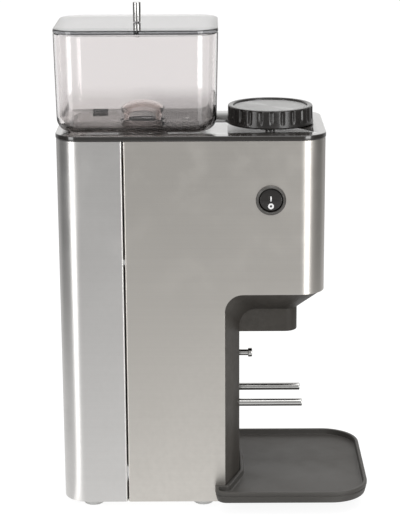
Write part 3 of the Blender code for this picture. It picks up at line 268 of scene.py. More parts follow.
def put(tree, kind, settings=None, feeds=(), **values):
    # one node, with its properties and what feeds its inputs, by place or by name
    node = tree.nodes.new(kind)
    for key, value in (settings or {}).items():
        setattr(node, key, value)
    for place, value in enumerate(feeds):
        connect(tree, node.inputs[place], value)
    for key, value in values.items():
        connect(tree, node.inputs[key.replace("_", " ")], value)
    return node


def arithmetic(tree, operation, first, second=0.0):
    return put(tree, "ShaderNodeMath", {"operation": operation}, (first, second)).outputs[0]


def noise(tree, vector, scale, detail, roughness=0.5, distortion=0.0):
    return put(tree, "ShaderNodeTexNoise", Vector=vector, Scale=scale, Detail=detail, Roughness=roughness,
               Distortion=distortion).outputs["Fac"]


def ease(tree, value, low, high, first=0.0, last=1.0, curve="SMOOTHSTEP"):
    # first below low, last above high, and a smooth or straight way between them
    return put(tree, "ShaderNodeMapRange", {"interpolation_type": curve}, Value=value, From_Min=low,
               From_Max=high, To_Min=first, To_Max=last).outputs["Result"]


def blend(tree, share, first, second):
    # first + share (second - first), for numbers or for colours
    kind = "RGBA" if isinstance(second, tuple) else "FLOAT"
    first, second = (((*v, 1) if isinstance(v, tuple) else v) for v in (first, second))
    return put(tree, "ShaderNodeMix", {"data_type": kind}, Factor=share, A=first, B=second).outputs["Result"]


def newGroup(name, inputs, outputs):
    group = bpy.data.node_groups.new(name, "ShaderNodeTree")
    for label, kind, value in inputs:
        made = group.interface.new_socket(label, in_out="INPUT", socket_type=kind)
        if value is not None:
            made.default_value = value
    for label in outputs:
        group.interface.new_socket(label, in_out="OUTPUT", socket_type="NodeSocketFloat")
    return group, group.nodes.new("NodeGroupInput").outputs, group.nodes.new("NodeGroupOutput").inputs


def makeGrainGroup():
    # fine lines: noise on coordinates that are squeezed across the grain and stretched along it
    group, entry, leave = newGroup("brushed grain", [("Vector", "NodeSocketVector", None),
                                                     ("Stretch", "NodeSocketVector", (6, 900, 900))],
                                   ["Lines", "Patches"])
    squeezed = put(group, "ShaderNodeVectorMath", {"operation": "MULTIPLY"},
                   (entry["Vector"], entry["Stretch"])).outputs[0]
    wide = put(group, "ShaderNodeVectorMath", {"operation": "SCALE"}, (squeezed,), Scale=0.14).outputs[0]
    fine, broad = noise(group, squeezed, 1.0, 4.0, 0.6), noise(group, wide, 1.0, 2.0, distortion=0.15)
    connect(group, leave["Lines"], blend(group, 0.35, fine, broad))
    connect(group, leave["Patches"], noise(group, entry["Vector"], 9.0, 2.0))
    return group


def makeTextureGroup():
    # moulded spark texture: small rounded cells, with a slow change of tone over the piece
    group, entry, leave = newGroup("moulded texture", [("Vector", "NodeSocketVector", None),
                                                       ("Size", "NodeSocketFloat", 1400.0)],
                                   ["Height", "Tone"])
    cells = put(group, "ShaderNodeTexVoronoi", {"feature": "SMOOTH_F1"}, Vector=entry["Vector"],
                Scale=entry["Size"], Smoothness=0.8).outputs["Distance"]
    grit = noise(group, entry["Vector"], entry["Size"], 3.0, 0.7)
    connect(group, leave["Height"], blend(group, 0.5, cells, grit))
    connect(group, leave["Tone"], noise(group, entry["Vector"], 26.0, 3.0))
    return group


def makeEdgeGroup():
    # worn or polished edges: how sharply the surface bends, broken up by noise
    group, entry, leave = newGroup("edge polish", [("Vector", "NodeSocketVector", None),
                                                   ("Start", "NodeSocketFloat", 0.52),
                                                   ("Finish", "NodeSocketFloat", 0.60)], ["Edge"])
    bend = group.nodes.new("ShaderNodeNewGeometry").outputs["Pointiness"]
    level = ease(group, bend, entry["Start"], entry["Finish"])
    rub = noise(group, entry["Vector"], 240.0, 3.0)
    connect(group, leave["Edge"], arithmetic(group, "MULTIPLY", level, rub))
    return group


def makeDustGroup():
    # a thin film of dust and handling marks: broad soft spots with small specks
    group, entry, leave = newGroup("dust film", [("Vector", "NodeSocketVector", None),
                                                 ("Amount", "NodeSocketFloat", 0.3)], ["Dust"])
    spots = ease(group, noise(group, entry["Vector"], 34.0, 5.0, 0.65), 0.45, 0.8)
    specks = ease(group, noise(group, entry["Vector"], 900.0, 1.0), 0.66, 0.74, curve="LINEAR")
    both = arithmetic(group, "MAXIMUM", spots, specks)
    connect(group, leave["Dust"], arithmetic(group, "MULTIPLY", both, entry["Amount"]))
    return group


def useGroup(tree, group, vector, **values):
    return put(tree, "ShaderNodeGroup", {"node_tree": group}, Vector=vector, **values).outputs


def startFinish(name, roughness, metallic=0.0):
    made = bpy.data.materials.new(name)
    made.use_nodes = True
    shader = made.node_tree.nodes["Principled BSDF"].inputs
    shader["Roughness"].default_value = roughness
    shader["Metallic"].default_value = metallic
    return made, made.node_tree, shader, made.node_tree.nodes.new("ShaderNodeTexCoord").outputs


def roughen(tree, shader, mask, middle, sway, film):
    # roughness: middle plus or minus sway by the mask, plus the dust film
    level = ease(tree, mask, 0.3, 0.7, middle - sway, middle + sway, "LINEAR")
    connect(tree, shader["Roughness"], arithmetic(tree, "ADD", level, film))


def bumpBy(tree, height, shader, distance, strength):
    bump = put(tree, "ShaderNodeBump", Strength=strength, Distance=distance, Height=height)
    connect(tree, shader["Normal"], bump.outputs["Normal"])


def brushedFinish(name, dark, light, roughness, stretch, wrapped=True, relief=0.25):
    # a tone between dark and light by the grain lines, brighter on edges; wrapped sheet also spreads its
    # highlights across the grain, which runs level round the body
    made, tree, shader, place = startFinish(name, roughness, 1.0)
    grain = useGroup(tree, grainGroup, place["UV" if wrapped else "Object"], Stretch=stretch)
    edge = useGroup(tree, edgeGroup, place["Object"])
    dust = useGroup(tree, dustGroup, place["Object"], Amount=0.12)
    tone = blend(tree, grain["Lines"], dark, light)
    polish = tuple(min(1.0, c * 1.15) for c in light)
    connect(tree, shader["Base Color"], blend(tree, edge["Edge"], tone, polish))
    roughen(tree, shader, grain["Patches"], roughness, 0.03, dust["Dust"])
    bumpBy(tree, grain["Lines"], shader, 0.04 * mm, relief)
    if wrapped:
        shader["Anisotropic"].default_value = 0.75
        shader["Anisotropic Rotation"].default_value = 0.25
        around = put(tree, "ShaderNodeTangent", {"direction_type": "RADIAL", "axis": "Z"})
        connect(tree, shader["Tangent"], around.outputs["Tangent"])
    return made


def machinedFinish(name, dark, light, roughness, stretch=(260, 260, 2600), relief=0.25):
    # turned or ground metal: fine lines round the piece, brighter on its edges
    return brushedFinish(name, dark, light, roughness, stretch, False, relief)


def mouldedFinish(name, dark, light, roughness, size, depth, strength, edgeTone, dust=0.2, coat=0.0,
                  shine=0.5):
    # plastic or rubber: a slow tone between dark and light, rubbed edges, a dust film and a moulded texture
    made, tree, shader, place = startFinish(name, roughness)
    texture = useGroup(tree, textureGroup, place["Object"], Size=size)
    edge = useGroup(tree, edgeGroup, place["Object"])
    film = useGroup(tree, dustGroup, place["Object"], Amount=dust)
    tone = blend(tree, texture["Tone"], dark, light)
    rubbed = blend(tree, edge["Edge"], tone, edgeTone)
    thin = arithmetic(tree, "MULTIPLY", film["Dust"], 0.25)
    connect(tree, shader["Base Color"], blend(tree, thin, rubbed, (0.30, 0.29, 0.28)))
    roughen(tree, shader, texture["Tone"], roughness, 0.05, film["Dust"])
    bumpBy(tree, texture["Height"], shader, depth, strength)
    shader["Specular IOR Level"].default_value = shine
    shader["Coat Weight"].default_value = coat
    shader["Coat Roughness"].default_value = 0.08
    return made


def clearFinish(name, tint, footShade, foot, roughness):
    # smoke tint with painted shade at the foot: the colour goes from the shade colour to the tint by s, a
    # smooth step over 22 mm above the foot; on the knob's side of the throat the painted shade is deeper still,
    # at 0.62 of the shade colour
    made, tree, shader, place = startFinish(name, roughness)
    shader["Transmission Weight"].default_value = 1.0
    shader["IOR"].default_value = 1.49
    film = useGroup(tree, dustGroup, place["Object"], Amount=0.05)
    texture = useGroup(tree, textureGroup, place["Object"], Size=120.0)
    apart = put(tree, "ShaderNodeSeparateXYZ", None, (place["Object"],)).outputs
    # painted shade: the colour rises from the shade colour at the foot to the tint over 22 mm, darker still on
    # the knob's side of the throat
    rise = ease(tree, apart["Z"], foot, foot + 22 * mm)
    back = ease(tree, apart["Y"], 38 * mm, 72 * mm)
    low = blend(tree, back, tuple(c * 0.62 for c in footShade), footShade)
    tone = blend(tree, rise, low, tint)
    faint = arithmetic(tree, "MULTIPLY", texture["Tone"], 0.2)
    connect(tree, shader["Base Color"], blend(tree, faint, tone, tuple(c * 0.94 for c in tint)))
    connect(tree, shader["Roughness"], arithmetic(tree, "ADD", film["Dust"], roughness))
    bumpBy(tree, texture["Tone"], shader, 0.4 * mm, 0.06)
    return made


grainGroup = makeGrainGroup()
textureGroup = makeTextureGroup()
edgeGroup = makeEdgeGroup()
dustGroup = makeDustGroup()
sheetGrain = (5, 1500, 1)
finishes = {
    "brushed_steel": brushedFinish("wrapped brushed steel", (0.555, 0.53, 0.495), (0.635, 0.61, 0.57),
                                   0.34, sheetGrain),
    "bright_steel": machinedFinish("polished steel", (0.50, 0.495, 0.485), (0.60, 0.595, 0.585), 0.15,
                                   relief=0.08),
    "burr_steel": machinedFinish("ground tool steel", (0.38, 0.38, 0.39), (0.50, 0.50, 0.51), 0.34),
    "aluminium": machinedFinish("machined aluminium", (0.60, 0.61, 0.62), (0.72, 0.73, 0.74), 0.38),
    "zinc_plate": machinedFinish("zinc plate", (0.50, 0.50, 0.47), (0.64, 0.63, 0.60), 0.45, (90, 90, 90)),
    "brass": machinedFinish("cut brass", (0.66, 0.48, 0.20), (0.80, 0.62, 0.32), 0.32),
    "deck_plastic": mouldedFinish("deck gloss moulding", (0.016, 0.014, 0.012), (0.024, 0.021, 0.019), 0.14,
                                  700.0, 0.03 * mm, 0.08, (0.045, 0.042, 0.038), 0.06, 0.85),
    "gloss_black": mouldedFinish("black knob moulding", (0.012, 0.011, 0.010), (0.020, 0.018, 0.017), 0.22,
                                 900.0, 0.03 * mm, 0.06, (0.04, 0.037, 0.035), 0.1, 0.1, 0.45),
    "charcoal_plastic": mouldedFinish("charcoal spark texture", (0.036, 0.032, 0.027), (0.048, 0.043, 0.037),
                                      0.55, 1500.0, 0.12 * mm, 0.35, (0.085, 0.078, 0.07), 0.12, shine=0.3),
    "foot_rubber": mouldedFinish("pale rubber", (0.68, 0.68, 0.67), (0.78, 0.78, 0.77), 0.5,
                                 800.0, 0.08 * mm, 0.2, (0.85, 0.85, 0.84)),
    "black_rubber": mouldedFinish("black rubber", (0.018, 0.018, 0.018), (0.028, 0.028, 0.028), 0.62,
                                  900.0, 0.1 * mm, 0.3, (0.06, 0.06, 0.06)),
    "motor_paint": mouldedFinish("motor paint", (0.07, 0.075, 0.08), (0.09, 0.095, 0.10), 0.42,
                                 500.0, 0.1 * mm, 0.2, (0.2, 0.2, 0.2)),
    "board_green": mouldedFinish("board lacquer", (0.03, 0.17, 0.07), (0.06, 0.25, 0.11), 0.35,
                                 300.0, 0.05 * mm, 0.15, (0.1, 0.3, 0.15)),
    "gear_nylon": mouldedFinish("gear nylon", (0.74, 0.71, 0.62), (0.82, 0.80, 0.72), 0.45,
                                500.0, 0.06 * mm, 0.15, (0.86, 0.84, 0.78)),
    "disc_grey": mouldedFinish("silver disc", (0.27, 0.27, 0.268), (0.32, 0.32, 0.317), 0.42,
                               2200.0, 0.05 * mm, 0.25, (0.42, 0.42, 0.42)),
    # the hopper's finish carries painted shade at its foot, from 302 mm up over 22 mm
    "smoke_clear": clearFinish("smoke clear plastic", (0.872, 0.850, 0.848), (0.60, 0.57, 0.56), 302 * mm,
                               0.035),
}
coverSteel = brushedFinish("wrapped brushed steel of the cover", (0.60, 0.590, 0.577), (0.68, 0.670, 0.657),
                           0.34, sheetGrain)
guardClear = clearFinish("smoke clear plastic of the guard", (0.72, 0.66, 0.64), (0.72, 0.66, 0.64),
                         290 * mm, 0.04)
lidClear = clearFinish("smoke clear plastic of the lid", (0.34, 0.34, 0.35), (0.34, 0.34, 0.35), 302 * mm,
                       0.03)
trayFinish = mouldedFinish("charcoal tray texture", (0.047, 0.044, 0.040), (0.061, 0.057, 0.052), 0.5,
                           1500.0, 0.12 * mm, 0.35, (0.10, 0.094, 0.087), 0.12, shine=0.4)
markPrint = mouldedFinish("white print", (0.70, 0.70, 0.70), (0.80, 0.80, 0.80), 0.5,
                          1200.0, 0.03 * mm, 0.1, (0.85, 0.85, 0.85))
bezelFinish = mouldedFinish("satin switch frame", (0.050, 0.047, 0.043), (0.064, 0.060, 0.055), 0.34,
                            1600.0, 0.04 * mm, 0.15, (0.11, 0.105, 0.10), 0.1, 0.2)
print("finishes ready")
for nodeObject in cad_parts.values():
    for holder in nodeObject.material_slots:
        holder.material = finishes[holder.material.name.split(".")[0]]


# ---- steel body ----

shellLow, shellHigh = span("front_shell")
coverLow, coverHigh = span("rear_cover")
plateLow, plateHigh = span("base_plate")
halfBody = coverHigh[0]

sheet = {
    "thickness": 1.2 * mm,
    "cornerRadius": 20 * mm,
    "foldRadius": 1.5 * mm,      # the sheet bends in at the joint between cover and shell
    "foldDepth": 4.5 * mm,
    "notchRadius": 14 * mm,
    "headHeight": 120.1 * mm,    # steel of the head, top to bottom
    "edgeBehindPanel": 11.7 * mm,
    "edgeSoft": 0.22 * mm,
    "cableHole": 9 * mm,
    "switchHole": 10.2 * mm,
}
edgeY = plateLow[1] + sheet["edgeBehindPanel"]
headBottom = shellHigh[2] - sheet["headHeight"]


def sheetPlan(seamY, endY, way):
    # half of a folded sheet's plan: in-turned flange, fold arc, side, corner arc, middle of the end wall
    fold, corner = sheet["foldRadius"], sheet["cornerRadius"]
    turn, bend = quarter(6), quarter(24)
    foldArc = np.stack([-halfBody + fold - fold * np.sin(turn),
                        seamY + way * (fold - fold * np.cos(turn))], -1)
    endArc = np.stack([-halfBody + corner - corner * np.cos(bend),
                       endY - way * (corner - corner * np.sin(bend))], -1)
    flange = np.array([[-halfBody + sheet["foldDepth"], seamY]])
    return flange, foldArc, endArc, np.array([[0, endY]])


def wholePlan(half):
    return np.concatenate([half, half[-2::-1] * (-1, 1)])


def runLength(plan):
    # distance along a plan from its first point
    return np.concatenate([[0], np.cumsum(np.linalg.norm(np.diff(plan, axis=0), axis=1))])


def foldSheet(piece, centre, radius, holeAxis):
    # gives the sheet its thickness, one round hole and soft edges
    thicken(piece, sheet["thickness"], -1)
    drill(piece, radius, -5 * mm, 5 * mm, centre, holeAxis)
    return softEdges(piece, sheet["edgeSoft"], 50, True)


def buildRearCover():
    # the plan carried straight up: point = (plan(s), z)
    plan = wholePlan(np.concatenate(sheetPlan(coverLow[1], coverHigh[1], 1)))[::-1]
    heights = np.array([coverLow[2], coverHigh[2]])
    points = np.concatenate([lift(plan, z) for z in heights])
    along = runLength(plan)
    uv = np.concatenate([lift(along, z) for z in heights])
    piece = addPiece("rearCover", points, gridQuads(2, len(plan)), "housing", "brushed_steel", "rear_cover", uv,
                     outward=False, finish=coverSteel)
    middle = centreOf("cable_gland")
    return foldSheet(piece, (middle[0], coverHigh[1], middle[2]), sheet["cableHole"], "Y")


def buildFrontShell():
    # the side sheets stand straight up; round the head the lower edge is z(y) = bottom + sqrt(R^2 - (y -
    # y0)^2)
    flange, fold, corner, middle = sheetPlan(shellHigh[1], shellLow[1], -1)
    radius = sheet["notchRadius"]
    notchY = edgeY - radius + radius * np.cos(quarter(12))
    side = np.column_stack([np.full(13, -halfBody), notchY])
    plan = wholePlan(np.concatenate([flange, fold, side, corner, middle]))
    along = runLength(plan)
    drop = np.sqrt(np.clip(radius ** 2 - (plan[:, 1] - edgeY + radius) ** 2, 0, None))
    low = np.where(plan[:, 1] < edgeY - radius, headBottom, headBottom - radius + drop)
    first = len(flange) + len(fold)
    last = len(plan) - 1 - first
    share = np.linspace(0, 1, 9)[:, None]
    head = slice(first, last + 1)
    z = low[head] + (shellHigh[2] - low[head]) * share
    x, y, run = (np.broadcast_to(values, z.shape) for values in (plan[head, 0], plan[head, 1], along[head]))
    points, uvs = [np.stack([x, y, z], -1).reshape(-1, 3)], [np.stack([run, z], -1).reshape(-1, 2)]
    faces = gridQuads(*z.shape).tolist()
    sideZ = np.concatenate([[shellLow[2]], z[:, 0]])
    for part in (slice(0, first + 1), slice(last, len(plan))):
        count = len(plan[part])
        across = np.broadcast_to(np.arange(count), (len(sideZ), count))
        up = np.repeat(sideZ[:, None], count, 1)
        start = sum(map(len, points))
        points.append(np.stack([plan[part, 0][across], plan[part, 1][across], up], -1).reshape(-1, 3))
        uvs.append(np.stack([along[part][across], up], -1).reshape(-1, 2))
        faces += (gridQuads(len(sideZ), count) + start).tolist()
    piece = addPiece("frontShell", np.concatenate(points), faces, "housing", "brushed_steel", "front_shell",
                     np.concatenate(uvs), outward=False)
    middle = centreOf("switch_housing")
    return foldSheet(piece, (-halfBody, middle[1], middle[2]), sheet["switchHole"], "X")


buildRearCover()
buildFrontShell()
print("steel body ready")


# ---- deck ----

deckLow, deckHigh = span("top_deck")
deck = {
    "cornerRadius": 20.4 * mm,
    "topEdge": 0.7 * mm,
    "lowerEdge": 0.6 * mm,
    "rim": 3 * mm,               # width of the edge section
    "throatHole": 19.7 * mm,
    "knobHole": 4.3 * mm,
    "past": 2 * mm,              # how far a cutter runs beyond the wall it cuts
}
driveY = centreOf("burr_housing")[1]
knobLow, knobHigh = span("adjust_knob")
knobY = centreOf("adjust_knob")[1]


def buildDeck():
    # a soft-edged section carried round the plan
    plan = roundLoop(deckHigh[0], deckLow[1], deckHigh[1], deck["cornerRadius"], 20)
    low, high, rim = deckLow[2], deckHigh[2], deck["rim"]
    section = rounded([(rim, low), (0, low), (0, high), (rim, high)],
                      [0, deck["lowerEdge"], deck["topEdge"], 0], 6, False)
    rings = carryProfile(plan, section)
    piece = addPiece("topDeck", rings, skin(rings), "housing", "deck_plastic", "top_deck")
    for y, radius in ((driveY, deck["throatHole"]), (knobY, deck["knobHole"])):
        drill(piece, radius, low - deck["past"], high + deck["past"], (0, y, 0), steps=64)
    return piece


buildDeck()


# ---- moulding under the head ----

mouldLow, mouldHigh = span("front_moulding")
cove = {
    "inset": 32.2 * mm,          # run of the sloping sides
    "drop": 20.5 * mm,           # ceiling below the steel edge
    "setback": 19.6 * mm,        # block behind the front of the head
    "blockRadius": 10 * mm,
    "blockHeight": 18.6 * mm,
    "wall": 2.4 * mm,
    "gap": 0.3 * mm,
    "frontGap": 1.5 * mm,
    "foldSoft": 1.6 * mm,        # softness of the folds between panel and sloping sides
    "lowerEdge": 0.7 * mm,
    "sliver": 0.01 * mm,         # faces narrower than this are removed
    "past": 12 * mm,             # how far a cutter runs to each side
    "spoutHole": 12.3 * mm,
    "triggerHole": 4.6 * mm,
    "rodHole": 3.3 * mm,
    "slotHalf": 30.3 * mm,       # slot for the tongue of the tray
    "slotReach": 9 * mm,
    "slotRadius": 1 * mm,
    "slotBelow": 0.3 * mm,
    "slotAbove": 2.7 * mm,
}
blockHalf = halfBody - cove["inset"]
panelY = plateLow[1]
blockY = shellLow[1] + cove["setback"]
ceilingZ = headBottom - cove["drop"]
blockBottom = ceilingZ - cove["blockHeight"]
nozzleY = centreOf("spout_nozzle")[1]


def coveEdge(side, footY, roof, notch, notchRadius, corner, cornerRadius, front):
    # one edge of the cove: its foot, the arc up into the head, the arc round the corner, the middle of the
    # front
    turn, bend = quarter(14), quarter(16)
    rise = np.stack([np.full(15, side), notch[0] + notchRadius * np.cos(turn),
                     notch[1] + notchRadius * np.sin(turn)], -1)
    across = np.stack([corner[0] + cornerRadius * np.cos(bend), corner[1] - cornerRadius * np.sin(bend),
                       np.full(17, roof)], -1)
    return np.concatenate([[[side, footY, mouldLow[2]]], rise, across, [[0, front, roof]]])


def coveSkin():
    # straight lines between the steel edge S(s) and the inner edge N(s): S + v (N - S), mirrored, with soft
    # folds
    gap, clear, notch = cove["gap"], cove["frontGap"], sheet["notchRadius"]
    big, small, front = sheet["cornerRadius"], cove["blockRadius"], shellLow[1]
    steel = coveEdge(halfBody - sheet["thickness"] - gap, edgeY - gap, headBottom - gap,
                     (edgeY - notch, headBottom - notch), notch - gap,
                     (halfBody - big, front + big), big - clear, front + clear)
    inner = coveEdge(blockHalf, panelY, ceilingZ, (panelY - notch, ceilingZ - notch), notch,
                     (blockHalf - small, blockY + small), small, blockY)
    mirror = np.array([-1, 1, 1])
    corners = np.stack([steel, inner, inner * mirror, steel * mirror], 1)
    rows = len(corners)
    before = corners[:, [0, 0, 1, 2]] - corners
    after = corners[:, [1, 2, 3, 3]] - corners
    longBefore = np.linalg.norm(before, axis=2, keepdims=True)
    longAfter = np.linalg.norm(after, axis=2, keepdims=True)
    # beside the block the fold lies under the block's wall
    onPanel = np.clip((16 - np.arange(rows)) / 8, 0, 1)[:, None, None]
    pull = np.minimum(cove["foldSoft"] * onPanel, 0.45 * np.minimum(longBefore, longAfter))
    a = corners + pull * before / np.maximum(longBefore, 1e-9)
    c = corners + pull * after / np.maximum(longAfter, 1e-9)
    t = np.linspace(0, 1, 6)[None, None, :, None]
    curve = bendCurve(a[:, :, None], corners[:, :, None], c[:, :, None], t)
    folded = curve[:, 1:3].reshape(rows, -1, 3)
    return np.concatenate([corners[:, :1], folded, corners[:, 3:]], 1)


def buildMoulding():
    grid = coveSkin()
    piece = addPiece("coveMoulding", grid, gridQuads(*grid.shape[:2]), "housing", "charcoal_plastic",
                     "front_moulding", outward=False)
    turnOutward(piece.data, cove["sliver"])
    thicken(piece, cove["wall"], 1)
    turnOutward(piece.data)
    past = cove["past"]
    drill(piece, cove["spoutHole"], ceilingZ - past, ceilingZ + past, (0, nozzleY, 0))
    for node, hole in (("trigger_guide", "triggerHole"), ("fork_rod_left", "rodHole"),
                       ("fork_rod_right", "rodHole")):
        middle = centreOf(node)
        drill(piece, cove[hole], -past, past, (middle[0], panelY, middle[2]), "Y", 32)
    reach, trayZ = cove["slotReach"], span("drip_tray")[0][2]
    slot = roundLoop(cove["slotHalf"], panelY - reach, panelY + reach, cove["slotRadius"], 3)
    carve(piece, carryProfile(slot, [(0, trayZ - cove["slotBelow"]), (0, trayZ + cove["slotAbove"])]))
    return smooth(piece, 32)


def buildBlock():
    # a hollow skirt round the spout: its wall section carried round a plan with round front corners
    radius, wall = cove["blockRadius"], cove["wall"]
    rear, top = panelY + wall / 2, ceilingZ + wall / 2
    bend = quarter(16)
    left = np.stack([-blockHalf + radius - radius * np.cos(bend),
                     blockY + radius - radius * np.sin(bend)], -1)
    plan = np.concatenate([[[-blockHalf, rear]], left, left[::-1] * (-1, 1), [[blockHalf, rear]]])
    corners = [(0, blockBottom), (0, top), (wall, top), (wall, blockBottom)]
    section = rounded(corners, np.array([1, 0.1, 0.1, 0.6]) * cove["lowerEdge"], 4)
    rings = carryProfile(plan, section)
    return addPiece("spoutBlock", rings, skin(rings, True), "housing", "charcoal_plastic", "front_moulding",
                    sharp=32)


buildMoulding()
buildBlock()

nozzle = {"outer": 12 * mm, "bore": 10.2 * mm, "flange": 16 * mm, "flangeHeight": 2 * mm, "edge": 0.4 * mm}


def buildNozzle():
    low, high = span("spout_nozzle")
    foot, seat = low[2], high[2] - nozzle["flangeHeight"]
    top = seat + nozzle["flangeHeight"]
    section = [(nozzle["outer"], foot), (nozzle["outer"], seat), (nozzle["flange"], seat),
               (nozzle["flange"], top), (nozzle["bore"], top), (nozzle["bore"], foot)]
    return turnedPiece("spoutNozzle", section, (0, nozzleY, 0), "housing", "gloss_black", "spout_nozzle",
                       closed=True, fillet=nozzle["edge"])


buildNozzle()
print("head moulding ready")


# ---- drip tray ----

trayLow, trayHigh = span("drip_tray")
tray = {
    "frontRadius": 30 * mm,
    "rearRadius": 9 * mm,
    "floorDepth": 4.6 * mm,
    "rim": 2.6 * mm,
    "draft": 1.7 * mm,           # the wall leans in towards the foot
    "gap": 0.3 * mm,
    "foot": 1.6 * mm,
    "tongueHalf": 30 * mm,       # the tongue runs through the slot in the panel
    "tongueFront": 10 * mm,
    "tongueRear": 14 * mm,
    "tongueLow": 0.1 * mm,
    "tongueHigh": 2.4 * mm,
    "tongueRadius": 1 * mm,
}
# the groove below the rim: (inset, depth under the rim) and the softness of each corner of the section
trayGroove = np.array([(0.35, 4.2), (0.9, 3.6), (0.9, 3.1), (0, 2.6)]) * mm
traySoft = np.array([0, 1.6, 0.4, 0.2, 0.2, 0.3, 0.9, 0.7, 1.4, 0]) * mm


def trayPlan(inset):
    # one level of the wall: round front corners, arms beside the column, and an inner edge that follows the
    # panel
    gap = tray["gap"] + inset
    shift = gap * math.hypot(cove["inset"], sheet["edgeBehindPanel"]) / cove["inset"]
    side, front, rear = trayHigh[0] - inset, trayLow[1] + inset, trayHigh[1] - inset
    turn = quarter(14)
    big, small = tray["frontRadius"] - inset, tray["rearRadius"] - inset
    cornerFront = np.stack([side - big + big * np.sin(turn), front + big - big * np.cos(turn)], -1)
    cornerRear = np.stack([side - small + small * np.cos(turn), rear - small + small * np.sin(turn)], -1)
    corners = [(side - small, rear), (halfBody + gap, rear), (halfBody + gap, edgeY - shift),
               (blockHalf, panelY - shift), (0, panelY - shift)]
    radii = [0, max(1.5 * mm - inset, 0.3 * mm), 0.6 * mm + inset, 1.0 * mm + inset, 0]
    arm = rounded(corners, radii, 4, False)
    half = np.concatenate([cornerFront, cornerRear, arm[1:-1]])
    return np.concatenate([half, half[::-1] * (-1, 1)])


def buildTray():
    # the wall's section as (inset, height): foot, drafted side, groove, rolled rim, inner wall, floor
    low, high, draft, rim = trayLow[2], trayHigh[2], tray["draft"], tray["rim"]
    floor = high - tray["floorDepth"]
    groove = [(inset, high - depth) for inset, depth in trayGroove]
    corners = [(draft + tray["foot"], low), (draft, low), *groove,
               (0, high), (rim, high), (rim + 0.5 * mm, floor), (rim + 2.4 * mm, floor)]
    section = rounded(corners, traySoft, 5, False)
    rings = np.stack([lift(trayPlan(inset), z) for inset, z in section])
    piece = addPiece("dripTray", rings, skin(rings), "tray", "charcoal_plastic", "drip_tray", sharp=30,
                     finish=trayFinish)
    tongue = roundLoop(tray["tongueHalf"], panelY - tray["tongueFront"], panelY + tray["tongueRear"],
                       tray["tongueRadius"], 3)
    carve(piece, carryProfile(tongue, [(0, low + tray["tongueLow"]), (0, low + tray["tongueHigh"])]), "UNION")
    return smooth(piece, 30)


buildTray()
print("drip tray ready")


# ---- hopper ----

hopperLow, hopperHigh = span("hopper_body")
lidLow, lidHigh = span("hopper_lid")
hopper = {
    "draft": math.radians(1.2),
    "cornerRadius": 20 * mm,
    "wall": 2.4 * mm,
    "edgeRadius": 10 * mm,
    "collarLength": 8 * mm,
    "throatRadius": 17 * mm,
    "rimSoft": 0.5 * mm,
    "throatSoft": 0.8 * mm,
    "straight": 30 * mm,         # extra level below the rim
    "pegHole": 4 * mm,
}
hopperTop = hopperHigh[2]
hopperBottom = hopperLow[2] + hopper["collarLength"]
hopperFloor = hopperBottom + hopper["wall"]
hopperY = (hopperLow[1] + hopperHigh[1]) / 2
hopperHalf = (hopperHigh - hopperLow) / 2


def hopperLevel(inset, z):
    # one level of the wall: the draft narrows it downwards
    lean = (hopperTop - z) * math.tan(hopper["draft"]) + inset
    plan = roundLoop(hopperHalf[0] - lean, hopperY - hopperHalf[1] + lean, hopperY + hopperHalf[1] - lean,
                     max(hopper["cornerRadius"] - lean, 2 * mm), 12, 8)
    return lift(plan, z)


def throatLevel(radius, z):
    # the same points thrown onto a circle round the throat
    away = hopperLevel(10 * mm, hopperFloor)[:, :2] - (0, driveY)
    away /= np.linalg.norm(away, axis=1, keepdims=True)
    return lift(away * radius + (0, driveY), z)


def edgeLevels(extra, floor):
    # the rounded lower edge: inset R (1 - sin t), height R (1 - cos t)
    radius = hopper["edgeRadius"]
    return [hopperLevel(extra + radius * (1 - math.sin(t)), floor + radius * (1 - math.cos(t)))
            for t in quarter(8)]


def buildHopper():
    wall, throat, soft, lip = hopper["wall"], hopper["throatRadius"], hopper["rimSoft"], hopper["throatSoft"]
    low = hopperBottom - hopper["collarLength"]
    high, lower = hopperTop - soft, hopperTop - hopper["straight"]
    levels = [throatLevel(throat + wall - soft, low), throatLevel(throat + wall, low + soft),
              throatLevel(throat + wall, hopperBottom), *edgeLevels(0, hopperBottom),
              hopperLevel(0, lower), hopperLevel(0, high), hopperLevel(soft, hopperTop),
              hopperLevel(wall - soft, hopperTop), hopperLevel(wall, high), hopperLevel(wall, lower),
              *edgeLevels(wall, hopperFloor)[::-1], throatLevel(throat + lip, hopperFloor),
              throatLevel(throat, hopperFloor - lip), throatLevel(throat, low)]
    rings = np.stack(levels)
    piece = addPiece("hopperBody", rings, skin(rings, True), "hopper", "smoke_clear", "hopper_body")
    peg = centreOf("hopper_peg")
    past = deck["past"]
    drill(piece, hopper["pegHole"], hopperBottom - past, hopperFloor + past, (peg[0], peg[1], 0), steps=32)
    return smooth(piece, 38)


guard = {
    "wall": 1.8 * mm,
    "knee": 6.8 * mm,            # height of the straight wall under the dome
    "crown": 0.4 * mm,           # radius at which the dome closes
    "windowHalf": 10.5 * mm,
    "windowRise": 5.5 * mm,
    "archRise": 4 * mm,
    "edge": 0.35 * mm,
    "sides": 72,
}


